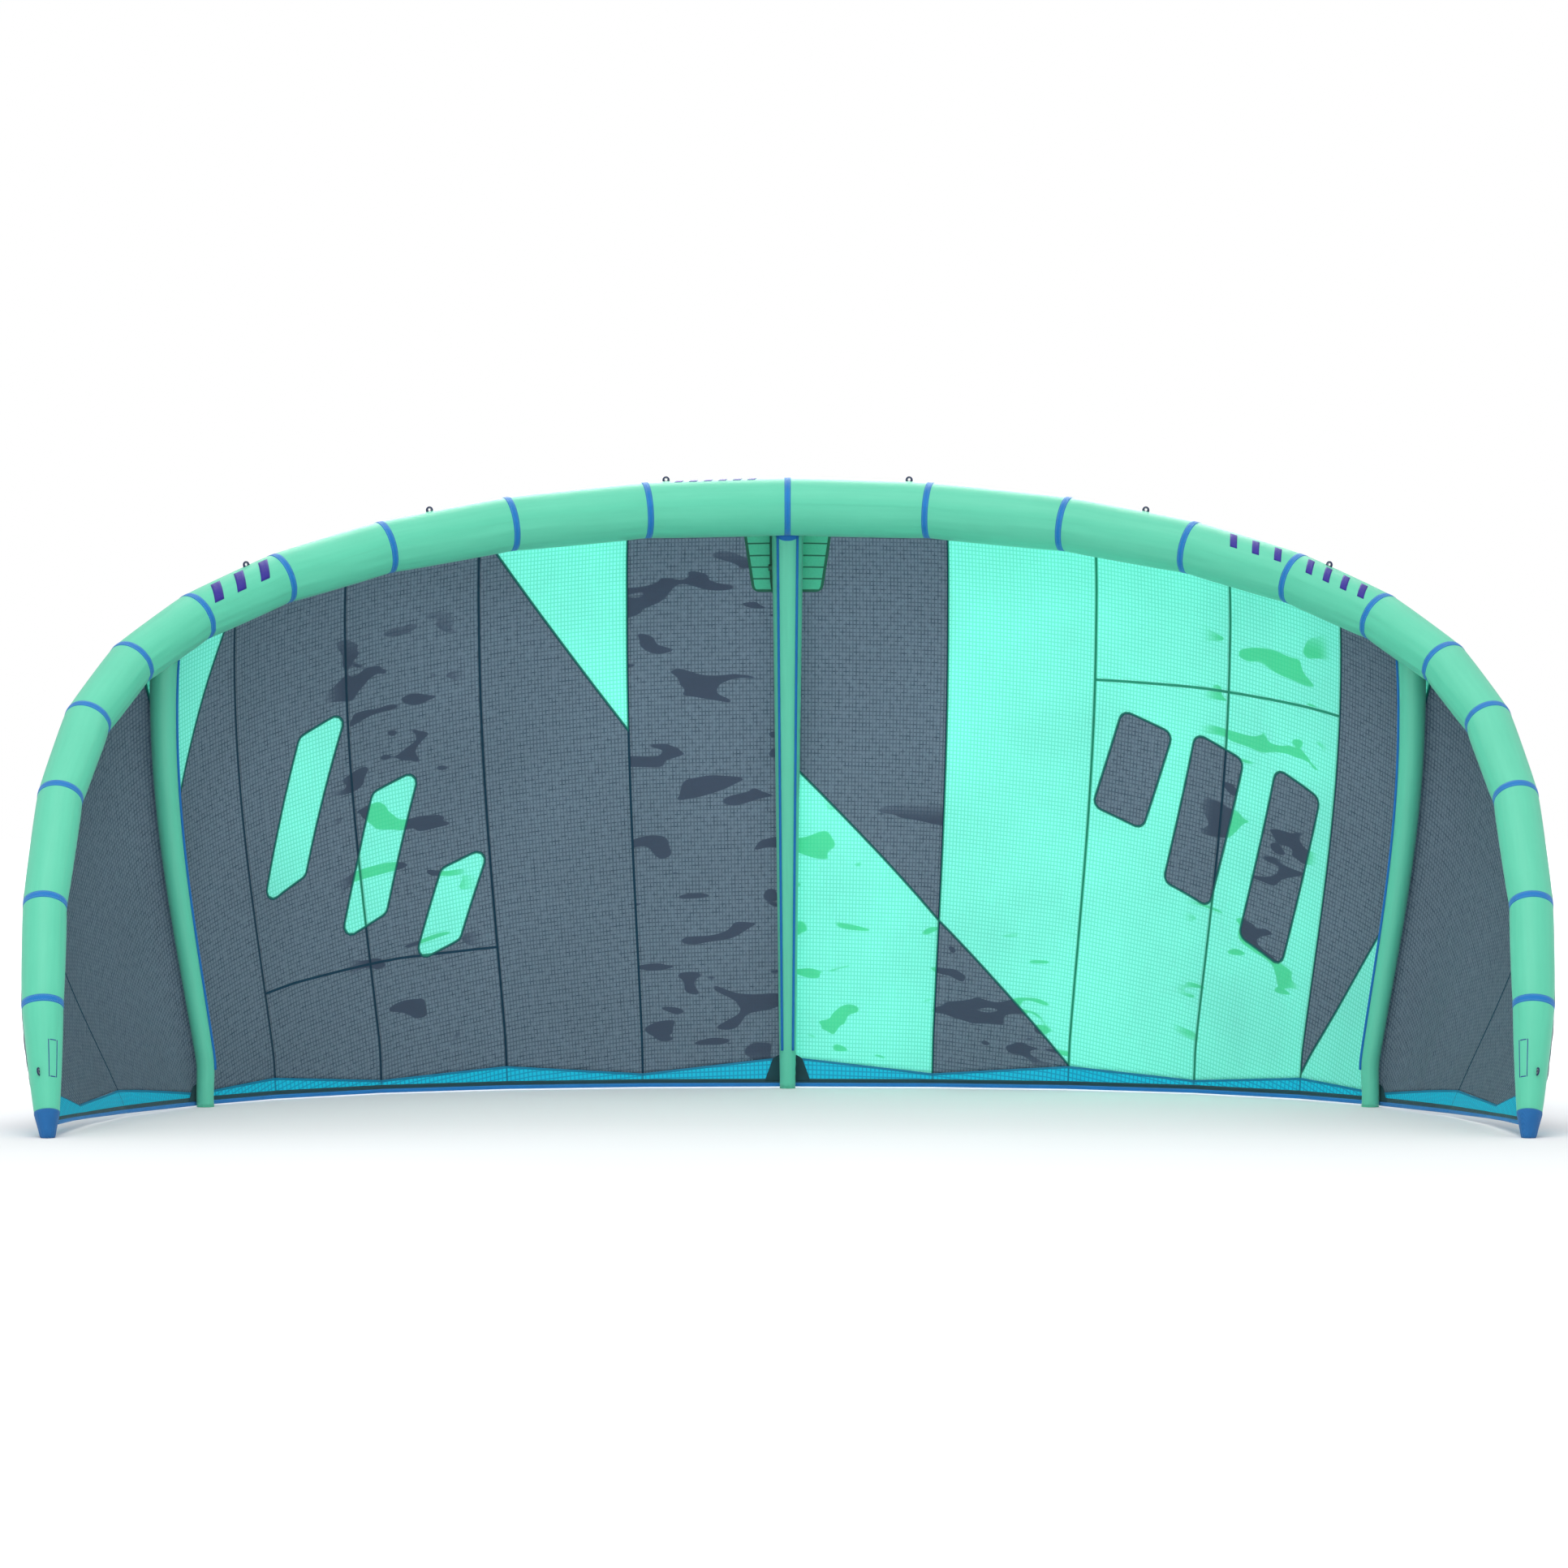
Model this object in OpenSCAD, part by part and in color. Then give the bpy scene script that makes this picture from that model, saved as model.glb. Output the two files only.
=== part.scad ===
// Kitesurf kite with an inflatable leading edge and three inflatable struts.
// It stands on its two tips and the ends of its struts, leading edge up.
// +X runs along the span, +Z is up, and the hollow side of the arch faces -Y.
// The origin is on the ground, under the middle of the whole kite.

/* [Leading edge] */
// Cut lengths of the leading-edge panels, from the centre to the tip
panel_cut = [440, 430, 405, 355, 315, 295, 290, 320, 380, 310, 365]; // [200:5:500]
// Height of the leading edge's centre line at the middle
crown_height = 1790; // [1700:5:1900]
// Distance of that centre line behind the origin
crown_back = 872.2; // [700:0.1:1100]
// Turn of the first panel away from straight across
first_turn = 8.2; // [4:0.1:12]
// Turn at every mitred seam
seam_turn = 7.38; // [6:0.01:9]
// Extra turn at the tightest seam of the shoulder
shoulder_turn = 8; // [4:0.1:10]
// Seam at the middle of the shoulder
shoulder_seam = 6.05; // [5:0.05:7]
// Number of seams that the shoulder spreads over
shoulder_spread = 1.62; // [1:0.01:2.5]
// Downward sweep that each panel adds
sweep_rate = 4; // [3:0.1:5]
// Growth of that sweep from panel to panel
sweep_growth = 0.223; // [0.1:0.001:0.4]
// Radius of the leading edge at the middle
crown_r = 88; // [70:1:110]
// Radius lost over each panel
panel_taper = 3.3; // [2:0.1:4]
// Radius where the tip cap starts
tip_r = 33; // [25:1:45]
// Radius of the tip cap's end
tip_end_r = 20; // [12:1:24]
// Part of the last panel that the tip cap covers
cap_share = 0.16; // [0.1:0.01:0.3]
// Thickness of the tube cloth and its reinforcement
tube_wall = 1.2; // [0.8:0.1:2]
// Width of the seam tapes
tape_w = 20; // [12:1:30]
// Thickness of the seam tapes
tape_t = 0.8; // [0.4:0.1:1.5]

/* [Canopy] */
// Half width of the trailing edge
edge_half_w = 1935; // [1850:5:1960]
// Depth of the trailing edge's arch
edge_depth = 1860; // [1700:10:1900]
// Fullness of that arch, 2 is an ellipse
edge_fullness = 2.45; // [2.2:0.05:3]
// Height of the trailing edge above the ground at the middle
edge_lift = 3; // [2:0.5:10]
// Extra height of the trailing edge at the tips
tip_lift = 30; // [10:1:60]
// Canopy seams along the leading edge, counted in panels from the centre
seam_u = [0, 1.09, 2.17, 3.26, 4.36, 5.38, 8.4, 9.9, 10.4, 10.8]; // [0:0.01:10.8]
// The same seams along the trailing edge's arch, in degrees
seam_t = [0, 9.5, 21.6, 34.8, 47.8, 59.2, 72.3, 81, 86, 90]; // [0:0.1:90]
// Height of the trailing-edge band at each seam
band_h = [92, 42, 70, 39, 62, 36, 74, 54, 150, 150]; // [30:1:160]
// Extra camber of the canopy at the middle, as a share of the chord
mid_camber = 0.062; // [0.03:0.001:0.09]
// Extra camber of the canopy at the side struts
side_camber = 0.044; // [0.02:0.001:0.09]
// Thickness of the canopy
cloth_t = 2; // [1:0.5:4]
// Width of the dark tape and of the hem
edge_tape_w = 12; // [8:1:20]

/* [Struts] */
// Radius of the centre strut at the leading edge
mid_root_r = 50; // [40:1:60]
// Radius of the centre strut at the trailing edge
mid_end_r = 24; // [18:1:30]
// Radius of the side struts at the leading edge
side_root_r = 41; // [30:1:50]
// Radius of the side struts at the trailing edge
side_end_r = 25; // [18:1:30]
// Number of straight pieces in each strut
strut_steps = 7; // [5:1:10]
// Radius of the piping on the struts
piping_r = 4; // [2:0.5:6]

/* [Fittings] */
// Outer radius of the inflation valve's flange
valve_flange_r = 22; // [18:1:26]
// Radius of the inflation valve's bore
valve_bore_r = 9; // [6:0.5:10]
// Outer radius of the pump hoses
hose_r = 5; // [4:0.5:6]
// Radius of the eyelets for bridle and back lines
eyelet_r = 4; // [3:0.5:5]

/* [Hidden] */
panels = len(panel_cut);
strut_u = seam_u[5];
mid = seam_u[0];
big = 420;               // side of the blocks that cut the tubes
gap = 2.5;               // between the canopy and the tubes
ridge_gap = 2;           // more of it at the middle, where the cloth folds
hose_wall = 1.5;
running = 0.05;          // radial clearance of pins
loose = 0.3;             // clearance between moving pieces
bladder_wall = 0.8;
bladder_gap = 3;
end_cap_t = 2;
canopy_steps = 10;
side_names = ["r", "l"];

function two(i) = i < 10 ? str("0", i) : str(i);
le_names = [for (s = side_names, i = [1:panels]) str("le_panel_", s, two(i))];
cloth_names = [for (s = side_names, i = [1:6]) str("canopy_", s, i)];

// ---- vectors -------------------------------------------------------------
function unit(a) = a / norm(a);
function mix(a, b, f) = a + (b - a) * f;
// Value at u of a list given at the canopy seams
function seam_index(u, k = 0) = k >= len(seam_u) - 2 || u < seam_u[k + 1] ? k : seam_index(u, k + 1);
function at_seams(list, u) = let (k = seam_index(u))
  mix(list[k], list[k + 1], (u - seam_u[k]) / (seam_u[k + 1] - seam_u[k]));

// ---- leading edge's centre line ------------------------------------------
function turn_at(i) = seam_turn + shoulder_turn * exp(-pow((i - shoulder_seam) / shoulder_spread, 2));
function arch(i) = i == 0 ? first_turn : arch(i - 1) + turn_at(i);
function sweep(i) = sweep_rate * (i + 0.5) + sweep_growth * pow(i + 0.5, 2);
function heading(i) = [cos(sweep(i)) * cos(arch(i)), -cos(sweep(i)) * sin(arch(i)), -sin(sweep(i))];
headings = [for (i = [0:panels - 1]) heading(i)];
ring = [for (i = 0, p = [0, crown_back, crown_height]; i <= panels;
             i = i + 1, p = i <= panels ? p + panel_cut[i - 1] * headings[i - 1] : p) p];
// Direction of the centre line at each seam, halfway between its two panels
ring_dir = [for (i = [0:panels]) i == 0 ? [1, 0, 0] : i == panels ? headings[panels - 1]
  : unit(headings[i - 1] + headings[i])];
function on_edge(u) = let (i = min(floor(u), panels - 1)) mix(ring[i], ring[i + 1], u - i);
function dir_at(u) = let (i = min(floor(u), panels - 1)) unit(mix(ring_dir[i], ring_dir[i + 1], u - i));
cap_u = panels - cap_share;
last_r = crown_r - panel_taper * (panels - 1);
function edge_r(u) = u <= panels - 1 ? crown_r - panel_taper * u
  : u <= cap_u ? mix(last_r, tip_r, (u - panels + 1) / (1 - cap_share))
  : mix(tip_r, tip_end_r, (u - cap_u) / cap_share);

// ---- canopy surface --------------------------------------------------------
// Point of the trailing edge at arch angle t, 0 at the middle and 90 at the tip
function te_lift(t) = edge_lift + tip_lift * pow(max(0, t - seam_t[5]) / (90 - seam_t[5]), 2);
function te_point(t) = [edge_half_w * pow(sin(t), 2 / edge_fullness),
  crown_back - edge_depth * (1 - pow(max(0, cos(t)), 2 / edge_fullness)), te_lift(t)];
te_seams = [for (t = seam_t) te_point(t)];
function te_at(u) = at_seams(te_seams, u);
function chord(u) = te_at(u) - on_edge(u);
// Outward normal; the short chords of the tip keep the one of the last full chord
function outward(u) = let (w = min(u, panels - 1)) unit(cross(dir_at(w), unit(chord(w))));
function rise(v) = v * pow(1 - v, 1.6) / 0.1769;
// The cloth leaves the tube's far side; towards the tip it stays outside the tube for longer
function hug(u) = 1 + max(0, u - 9);
function camber(u) = mix(mid_camber, side_camber, min(1, u / strut_u));
function cloth(u, v) = on_edge(u) + chord(u) * v
  + outward(u) * ((edge_r(u) + gap) * (1 - pow(v, hug(u))) + camber(u) * norm(chord(u)) * rise(v));
// Direction of the cloth towards the trailing edge, and its outward normal
function cloth_dir(u, v) = let (e = 0.01) unit(cloth(u, min(1, v + e)) - cloth(u, max(0, v - e)));
function cloth_out(u, v) = let (d = cloth_dir(u, v), n = outward(u)) unit(n - d * (n * d));
// Where the band, the dark tape and the hem start, as shares of the chord
function band_v(u) = max(0.15, 1 - at_seams(band_h, u) / norm(chord(u)));
function hem_v(u) = 1 - edge_tape_w / norm(chord(u));
function tape_v(u) = 1 - 2 * edge_tape_w / norm(chord(u));
// Values from a to b, with every whole number between them
function with_seams(a, b) = concat([a], [for (i = [ceil(a + 0.01):floor(b - 0.01)]) i], [b]);
half_u = [for (k = [0:len(seam_u) - 2]) each [for (u = with_seams(seam_u[k], seam_u[k + 1])) if (u < seam_u[k + 1]) u]];
edge_u = concat(half_u, [seam_u[len(seam_u) - 1]]);
tip_u = [for (u = edge_u) if (u >= strut_u) u];

// ---- frames ----------------------------------------------------------------
module orient(d) rotate([0, acos(d.z / norm(d)), atan2(d.y, d.x)]) children();
// Puts children at p with their z along z and their x as near x as it can be
module at_frame(p, z, x) {
  zz = unit(z);
  yy = unit(cross(zz, x));
  xx = cross(yy, zz);
  multmatrix([[xx.x, yy.x, zz.x, p.x], [xx.y, yy.y, zz.y, p.y], [xx.z, yy.z, zz.z, p.z]]) children();
}
module both_sides() {
  children();
  mirror([1, 0, 0]) children();
}

// ---- tubes -------------------------------------------------------------------
// Everything beyond the plane through p, on the side that n points to
module beyond(p, n) translate(p) orient(n) translate([-big / 2, -big / 2, 0]) cube(big);
// Cone from a to b, carried on past both ends
module cone_past(a, b, ra, rb, past) {
  len = norm(b - a);
  slope = (rb - ra) / len;
  translate(a) orient(b - a) translate([0, 0, -past])
    cylinder(h = len + 2 * past, r1 = ra - slope * past, r2 = rb + slope * past, $fn = 64);
}
// Hollow cone from a to b with its ends cut square to na and nb
module tube(a, b, ra, rb, na, nb, wall) {
  past = 0.35 * max(ra, rb) + 4;
  difference() {
    cone_past(a, b, ra, rb, past);
    cone_past(a, b, ra - wall, rb - wall, past + 1);
    beyond(a, -na);
    beyond(b, nb);
  }
}
// Directions square to the joints of a path, with both ends given
function joint_dirs(path, first, last) = [for (i = [0:len(path) - 1])
  i == 0 ? first : i == len(path) - 1 ? last : unit(unit(path[i] - path[i - 1]) + unit(path[i + 1] - path[i]))];
// Rings of n points in the planes square to dirs; side sets where each ring starts
function rings_of(path, radii, dirs, side, n) = [for (i = [0:len(path) - 1])
  let (x = unit(cross(side, dirs[i])), y = cross(dirs[i], x))
  [for (k = [0:n - 1]) path[i] + radii[i] * (x * cos(360 * k / n) + y * sin(360 * k / n))]];
function less(list, d) = [for (r = list) r - d];
// Faces between neighbouring rings, seen from outside; from is the number of their first point
function strip(m, n, from = 0) = [for (i = [0:m - 2], k = [0:n - 1])
  each let (a = from + i * n + k, b = from + i * n + (k + 1) % n) [[a, a + n, b + n], [a, b + n, b]]];
function turned(faces) = [for (f = faces) [f[2], f[1], f[0]]];
// Solid cord through rings
module cord_through(rings) {
  n = len(rings[0]);
  last = (len(rings) - 1) * n;
  polyhedron([for (r = rings) each r],
    concat([[for (k = [0:n - 1]) k]], strip(len(rings), n), [[for (k = [n - 1:-1:0]) last + k]]), convexity = 4);
}
// Open-ended tube with outer and inner rings
module shell(outer, inner) {
  n = len(outer[0]);
  m = len(outer);
  half = m * n;
  last = half - n;
  ends = [for (k = [0:n - 1]) each let (j = (k + 1) % n)
    [[k, j, half + j], [k, half + j, half + k],
     [last + j, last + k, half + last + k], [last + j, half + last + k, half + last + j]]];
  polyhedron(concat([for (r = outer) each r], [for (r = inner) each r]),
    concat(strip(m, n), turned(strip(m, n, half)), ends), convexity = 8);
}
// Tube that is open at its first ring and closed at its last
module cup(outer, inner) {
  n = len(outer[0]);
  half = len(outer) * n;
  whole = half + len(inner) * n;
  mouth = [for (k = [0:n - 1]) each let (j = (k + 1) % n) [[k, j, half + j], [k, half + j, half + k]]];
  polyhedron(concat([for (r = outer) each r], [for (r = inner) each r]),
    concat(strip(len(outer), n), turned(strip(len(inner), n, half)), mouth,
      [[for (k = [n - 1:-1:0]) half - n + k]], [[for (k = [0:n - 1]) whole - n + k]]), convexity = 6);
}
module tube_along(path, radii, dirs, side, wall, n)
  shell(rings_of(path, radii, dirs, side, n), rings_of(path, less(radii, wall), dirs, side, n));

// ---- sheets -------------------------------------------------------------------
// Closed sheet between two grids of points, both listed the same way
module skin(top, under) {
  nu = len(top);
  nv = len(top[0]);
  n = nu * nv;
  points = concat([for (row = top) each row], [for (row = under) each row]);
  function id(i, j) = i * nv + j;
  function quad(a, b, c, d) = [[a, b, c], [a, c, d]];
  faces = concat(
    [for (i = [0:nu - 2], j = [0:nv - 2]) each quad(id(i, j), id(i, j + 1), id(i + 1, j + 1), id(i + 1, j))],
    [for (i = [0:nu - 2], j = [0:nv - 2])
      each quad(n + id(i, j), n + id(i + 1, j), n + id(i + 1, j + 1), n + id(i, j + 1))],
    [for (i = [0:nu - 2]) each quad(id(i, 0), id(i + 1, 0), n + id(i + 1, 0), n + id(i, 0))],
    [for (i = [0:nu - 2]) each quad(id(i + 1, nv - 1), id(i, nv - 1), n + id(i, nv - 1), n + id(i + 1, nv - 1))],
    [for (j = [0:nv - 2]) each quad(id(0, j + 1), id(0, j), n + id(0, j), n + id(0, j + 1))],
    [for (j = [0:nv - 2]) each quad(id(nu - 1, j), id(nu - 1, j + 1), n + id(nu - 1, j + 1), n + id(nu - 1, j))]
  );
  polyhedron(points, faces, convexity = 4);
}
// Sheet on the canopy: every entry of grid is [u, v]; out is how far its two faces stand off outwards
module cloth_sheet(grid, out)
  skin([for (row = grid) [for (q = row) cloth(q[0], q[1]) + out[1] * cloth_out(q[0], q[1])]],
       [for (row = grid) [for (q = row) cloth(q[0], q[1]) + out[0] * cloth_out(q[0], q[1])]]);
// Grid over the four corners a, b (front) and c, d (rear)
function patch_grid(a, b, c, d, nu, nv) = [for (i = [0:nu]) [for (j = [0:nv])
  mix(mix(a, b, i / nu), mix(c, d, i / nu), j / nv)]];

// ---- leading edge pieces --------------------------------------------------------
// One panel, i = 0 at the centre
module le_panel(i) color("mediumaquamarine") {
  last = i == panels - 1;
  b = last ? on_edge(cap_u) : ring[i + 1];
  tube(ring[i], b, edge_r(i), last ? tip_r : edge_r(i + 1), ring_dir[i],
       last ? headings[i] : ring_dir[i + 1], tube_wall);
}
// Band around the start or end of a panel, half a tape wide; two of them butt at each seam
module half_tape(i, at_end) {
  lay = 0.02;
  butt = 0.05;
  a = ring[i];
  b = ring[i + 1];
  ra = edge_r(i) + tape_t;
  rb = (i == panels - 1 ? mix(last_r, tip_r, 1 / (1 - cap_share)) : edge_r(i + 1)) + tape_t;
  p = at_end ? b : a;
  n = ring_dir[at_end ? i + 1 : i] * (at_end ? -1 : 1);
  past = 0.35 * ra + 4;
  difference() {
    cone_past(a, b, ra, rb, past);
    cone_past(a, b, ra - tape_t + lay, rb - tape_t + lay, past + 1);
    beyond(p + n * butt, -n);
    translate(n * tape_w / 2) translate(p) orient(n) translate([-big, -big, 0]) cube(2 * big);
  }
}
module le_seam_tapes() color("dodgerblue") both_sides() {
  for (i = [0:panels - 1]) half_tape(i, false);
  for (i = [0:panels - 2]) half_tape(i, true);
}
// Cup over the end of the tube, standing flat on the ground
module tip_cap(s) color("steelblue") {
  a = flip(s, on_edge(cap_u));
  b = flip(s, ring[panels]);
  d = unit(b - a);
  cone = rings_of([a, b], [tip_r, tip_end_r], [d, d], [0, 0, 1], 32);
  ground = [for (k = [0:31]) let (p = cone[0][k], e = cone[1][k] - p, q = p - e * (p.z / e.z)) [q.x, q.y, 0]];
  hollow = rings_of([a, mix(a, b, 0.8)], [tip_r - 2, tip_end_r - 2], [d, d], [0, 0, 1], 32);
  cup([cone[0], ground], hollow);
}
// The inner tube of the whole edge, drawn in to a narrow neck at both tips
neck = 8;
bladder_us = concat([for (i = [0:panels - 1]) i], [cap_u - 0.06, cap_u - 0.01]);
function bladder_r(u) = u > cap_u - 0.05 ? neck : edge_r(u) - tube_wall - bladder_gap;
function both_ways(list) = concat([for (i = [len(list) - 1:-1:1]) flip(-1, list[i])], list);
module le_bladder() color("ivory") {
  path = both_ways([for (u = bladder_us) on_edge(u)]);
  radii = [for (i = [-len(bladder_us) + 1:len(bladder_us) - 1]) bladder_r(bladder_us[abs(i)])];
  dirs = joint_dirs(path, -flip(-1, headings[panels - 1]), headings[panels - 1]);
  tube_along(path, radii, dirs, [0, 0, 1], bladder_wall, 32);
}

// ---- struts ------------------------------------------------------------------------
// A strut's s is 1 on the +X side and in the middle, and -1 on the -X side
function flip(s, p) = [s * p.x, p.y, p.z];
function flip_all(s, list) = [for (p = list) flip(s, p)];
function strut_v(k) = mix(0.03, 1, k / strut_steps);
function strut_r(root, end, v) = mix(root, end, v);
function strut_off(u) = cloth_t / 2 + gap + (u == mid ? ridge_gap : 0);
// Centre line of the strut at u, one radius inside the cloth
function strut_point(u, root, end, v) = cloth(u, v) - cloth_out(u, v) * (strut_r(root, end, v) + strut_off(u));
function strut_path(u, root, end) = let (pts = [for (k = [0:strut_steps]) strut_point(u, root, end, strut_v(k))],
    last = pts[strut_steps], d = last - pts[strut_steps - 1])
  [for (k = [0:strut_steps]) k < strut_steps ? pts[k] : last + d * ((end_cap_t - last.z) / d.z)];
function strut_radii(root, end) = [for (k = [0:strut_steps]) strut_r(root, end, strut_v(k))];
function strut_dirs(path) = joint_dirs(path, unit(path[1] - path[0]), [0, 0, -1]);
// Where the line from p to q leaves a round bar through a, along h, of radius r
function leaves(p, q, a, h, r) = let (d = unit(q - p), e = d - h * (d * h), w = (p - a) - h * ((p - a) * h),
    f = w * e) p + d * ((-f + sqrt(max(0, f * f - e * e * (w * w - r * r)))) / (e * e));
// First ring of a strut, cut back to the leading edge that it is sewn to
function mouth(from, to, u, s) = [for (k = [0:len(from) - 1])
  let (side = u == mid ? (from[k].x < 0 ? -1 : 1) : s, i = floor(u))
  leaves(from[k], to[k], flip(side, ring[i]), flip(side, headings[i]), edge_r(u) + tape_t + 1)];
function with_mouth(rings, u, s) = [for (i = [0:len(rings) - 1]) i == 0 ? mouth(rings[0], rings[1], u, s) : rings[i]];
module strut_sleeve(u, root, end, s = 1) color("mediumseagreen") {
  path = flip_all(s, strut_path(u, root, end));
  radii = strut_radii(root, end);
  dirs = strut_dirs(path);
  shell(with_mouth(rings_of(path, radii, dirs, [1, 0, 0], 32), u, s),
        with_mouth(rings_of(path, less(radii, tube_wall), dirs, [1, 0, 0], 32), u, s));
}
// The inner tube starts clear of the leading edge and stops above the end cap
module strut_bladder(u, root, end, s = 1) {
  inset = tube_wall + bladder_gap;
  path = flip_all(s, strut_path(u, root, end));
  first = mix(path[0], path[1], 0.5);
  last = mix(path[strut_steps], path[strut_steps - 1], 0.08);
  inner = [for (k = [0:strut_steps]) k == 0 ? first : k == strut_steps ? last : path[k]];
  radii = [for (k = [0:strut_steps]) strut_r(root, end, strut_v(k)) - inset - (k == 0 ? 1 : 0)];
  tube_along(inner, radii, joint_dirs(inner, unit(inner[1] - inner[0]), unit(last - inner[strut_steps - 1])),
    [1, 0, 0], bladder_wall, 24);
}
module strut_bladders() color("ivory") {
  strut_bladder(mid, mid_root_r, mid_end_r);
  for (s = [1, -1]) strut_bladder(strut_u, side_root_r, side_end_r, s);
}
module end_cap(u, root, end) {
  path = strut_path(u, root, end);
  p = path[strut_steps];
  translate([p.x, p.y, 0]) cylinder(h = end_cap_t, r = end, $fn = 64);
}
module strut_end_caps() color("palegreen") {
  end_cap(mid, mid_root_r, mid_end_r);
  both_sides() end_cap(strut_u, side_root_r, side_end_r);
}
// Piping at an angle round the strut, 0 straight away from the cloth
module piping(u, root, end, angle) {
  path = strut_path(u, root, end);
  radii = strut_radii(root, end);
  across = unit(cross(cloth_out(u, 0.5), cloth_dir(u, 0.5)));
  line = [for (k = [1:strut_steps - 1]) let (v = strut_v(k), n = cloth_out(u, v))
    path[k] + (radii[k] + piping_r * 0.5) * (-n * cos(angle) + across * sin(angle))];
  start = mix(line[0], path[0] + line[0] - path[1], 0.55);
  stop = mix(line[strut_steps - 2], path[strut_steps] + line[strut_steps - 2] - path[strut_steps - 1], 0.6);
  full = concat([start], line, [stop]);
  dirs = joint_dirs(full, unit(line[0] - start), unit(stop - line[strut_steps - 2]));
  cord_through(rings_of(full, [for (p = full) piping_r], dirs, across, 8));
}
module strut_piping() color("royalblue") {
  piping(mid, mid_root_r, mid_end_r, 37);
  piping(mid, mid_root_r, mid_end_r, -37);
  both_sides() piping(strut_u, side_root_r, side_end_r, 32);
}

// ---- canopy pieces --------------------------------------------------------------------
function panel_us(k) = k < 6 ? with_seams(seam_u[k - 1], seam_u[k]) : tip_u;
// Rows lie closer together near the leading edge, where the cloth curves most
module canopy_panel(k, tone) color(tone)
  cloth_sheet([for (u = panel_us(k)) [for (j = [0:canopy_steps]) [u, band_v(u) * pow(j / canopy_steps, 1.4)]]],
    [-cloth_t / 2, cloth_t / 2]);
module te_band() color("deepskyblue")
  cloth_sheet([for (u = edge_u) [for (j = [0:2]) [u, mix(band_v(u), hem_v(u), j / 2)]]], [-cloth_t / 2, cloth_t / 2]);
module te_tape() color("darkslategray") both_sides()
  cloth_sheet([for (u = edge_u) [for (j = [0:1]) [u, mix(tape_v(u), hem_v(u), j)]]],
    [-cloth_t / 2 - 1, -cloth_t / 2]);
module te_hem() color("dodgerblue") both_sides()
  cloth_sheet([for (u = edge_u) [for (j = [0:1]) [u, mix(hem_v(u), 1, j)]]], [-2.5, 2.5]);
// Reinforcement beside the struts: ladder patches at the root, gussets at the end.
// a and b are the front corners, c and d the rear ones, each as [u, v]
module patch(a, b, c, d) cloth_sheet(patch_grid(a, b, c, d, 2, 3), [-cloth_t / 2 - 1.5, -cloth_t / 2]);
module canopy_patches() color("turquoise") both_sides() {
  patch([0.105, 0.045], [0.298, 0.045], [0.105, 0.143], [0.25, 0.143]);
  patch([0.045, 0.942], [0.07, 0.942], [0.045, 0.986], [0.15, 0.986]);
  patch([strut_u + 0.1, 0.06], [strut_u + 0.3, 0.06], [strut_u + 0.1, 0.15], [strut_u + 0.11, 0.15]);
  patch([strut_u + 0.12, 0.94], [strut_u + 0.22, 0.94], [strut_u + 0.12, 0.98], [strut_u + 0.45, 0.98]);
}

// ---- line attachments --------------------------------------------------------------------
bridle_us = [0.85, 2.6, 4.3];
tab = [22, 3, 17];       // along the tube, thick, standing out
tab_foot_depth = 1;
// Webbing tab standing on z = 0 with its eyelet across it
module line_tab() difference() {
  union() {
    translate([-tab.x / 2, -tab.y / 2, -tab_foot_depth]) cube([tab.x, tab.y, tab.z - tab.x / 2 + tab_foot_depth]);
    intersection() {
      translate([0, 0, tab.z - tab.x / 2]) rotate([90, 0, 0]) cylinder(h = tab.y, r = tab.x / 2, center = true, $fn = 48);
      translate([-tab.x, -tab.y, -tab_foot_depth]) cube([2 * tab.x, 2 * tab.y, 2 * tab.z]);
    }
  }
  translate([0, 0, tab.z - tab.x / 2 + 1]) rotate([90, 0, 0]) cylinder(h = 3 * tab.y, r = eyelet_r, center = true, $fn = 48);
}
function tab_axis(u) = headings[floor(u)];
// Straight ahead of the leading edge, square to its panel
function ahead(u) = let (c = -unit(chord(u)), a = tab_axis(u)) unit(c - a * (c * a));
function tab_foot(u) = on_edge(u) + ahead(u) * edge_r(u);
module bridle_tabs() color("midnightblue") both_sides()
  for (u = bridle_us) at_frame(tab_foot(u), ahead(u), tab_axis(u)) line_tab();
back_u = 10.55;
module back_line_tabs() color("midnightblue") both_sides()
  at_frame(tab_foot(back_u), ahead(back_u), tab_axis(back_u)) line_tab();

// ---- inflation valve -------------------------------------------------------------------------
// On the left half's first panel, half way round from the canopy's edge to the front
valve_u = 0.35;
valve_out = unit(outward(valve_u) + ahead(valve_u));
valve_seat = edge_r(valve_u) - 1;
flange_t = 4;
neck_r = valve_bore_r + 5;
neck_h = 12;
module at_valve() mirror([1, 0, 0])
  at_frame(on_edge(valve_u) + valve_out * valve_seat, valve_out, headings[0]) children();
module valve_base() color("darkgreen") at_valve() difference() {
  union() {
    cylinder(h = flange_t, r = valve_flange_r, $fn = 64);
    cylinder(h = neck_h, r = neck_r, $fn = 64);
  }
  translate([0, 0, -1]) cylinder(h = neck_h + 2, r = valve_bore_r, $fn = 64);
}
plug_r = valve_bore_r - running;
port_r = plug_r - 3;
head_h = 5;
lug_x = neck_r + 3;      // from the valve's axis to the cap's hinge
pin_r = 1;
cap_t = 2.5;
hinge_z = neck_h + head_h + loose + cap_t / 2;
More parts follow.
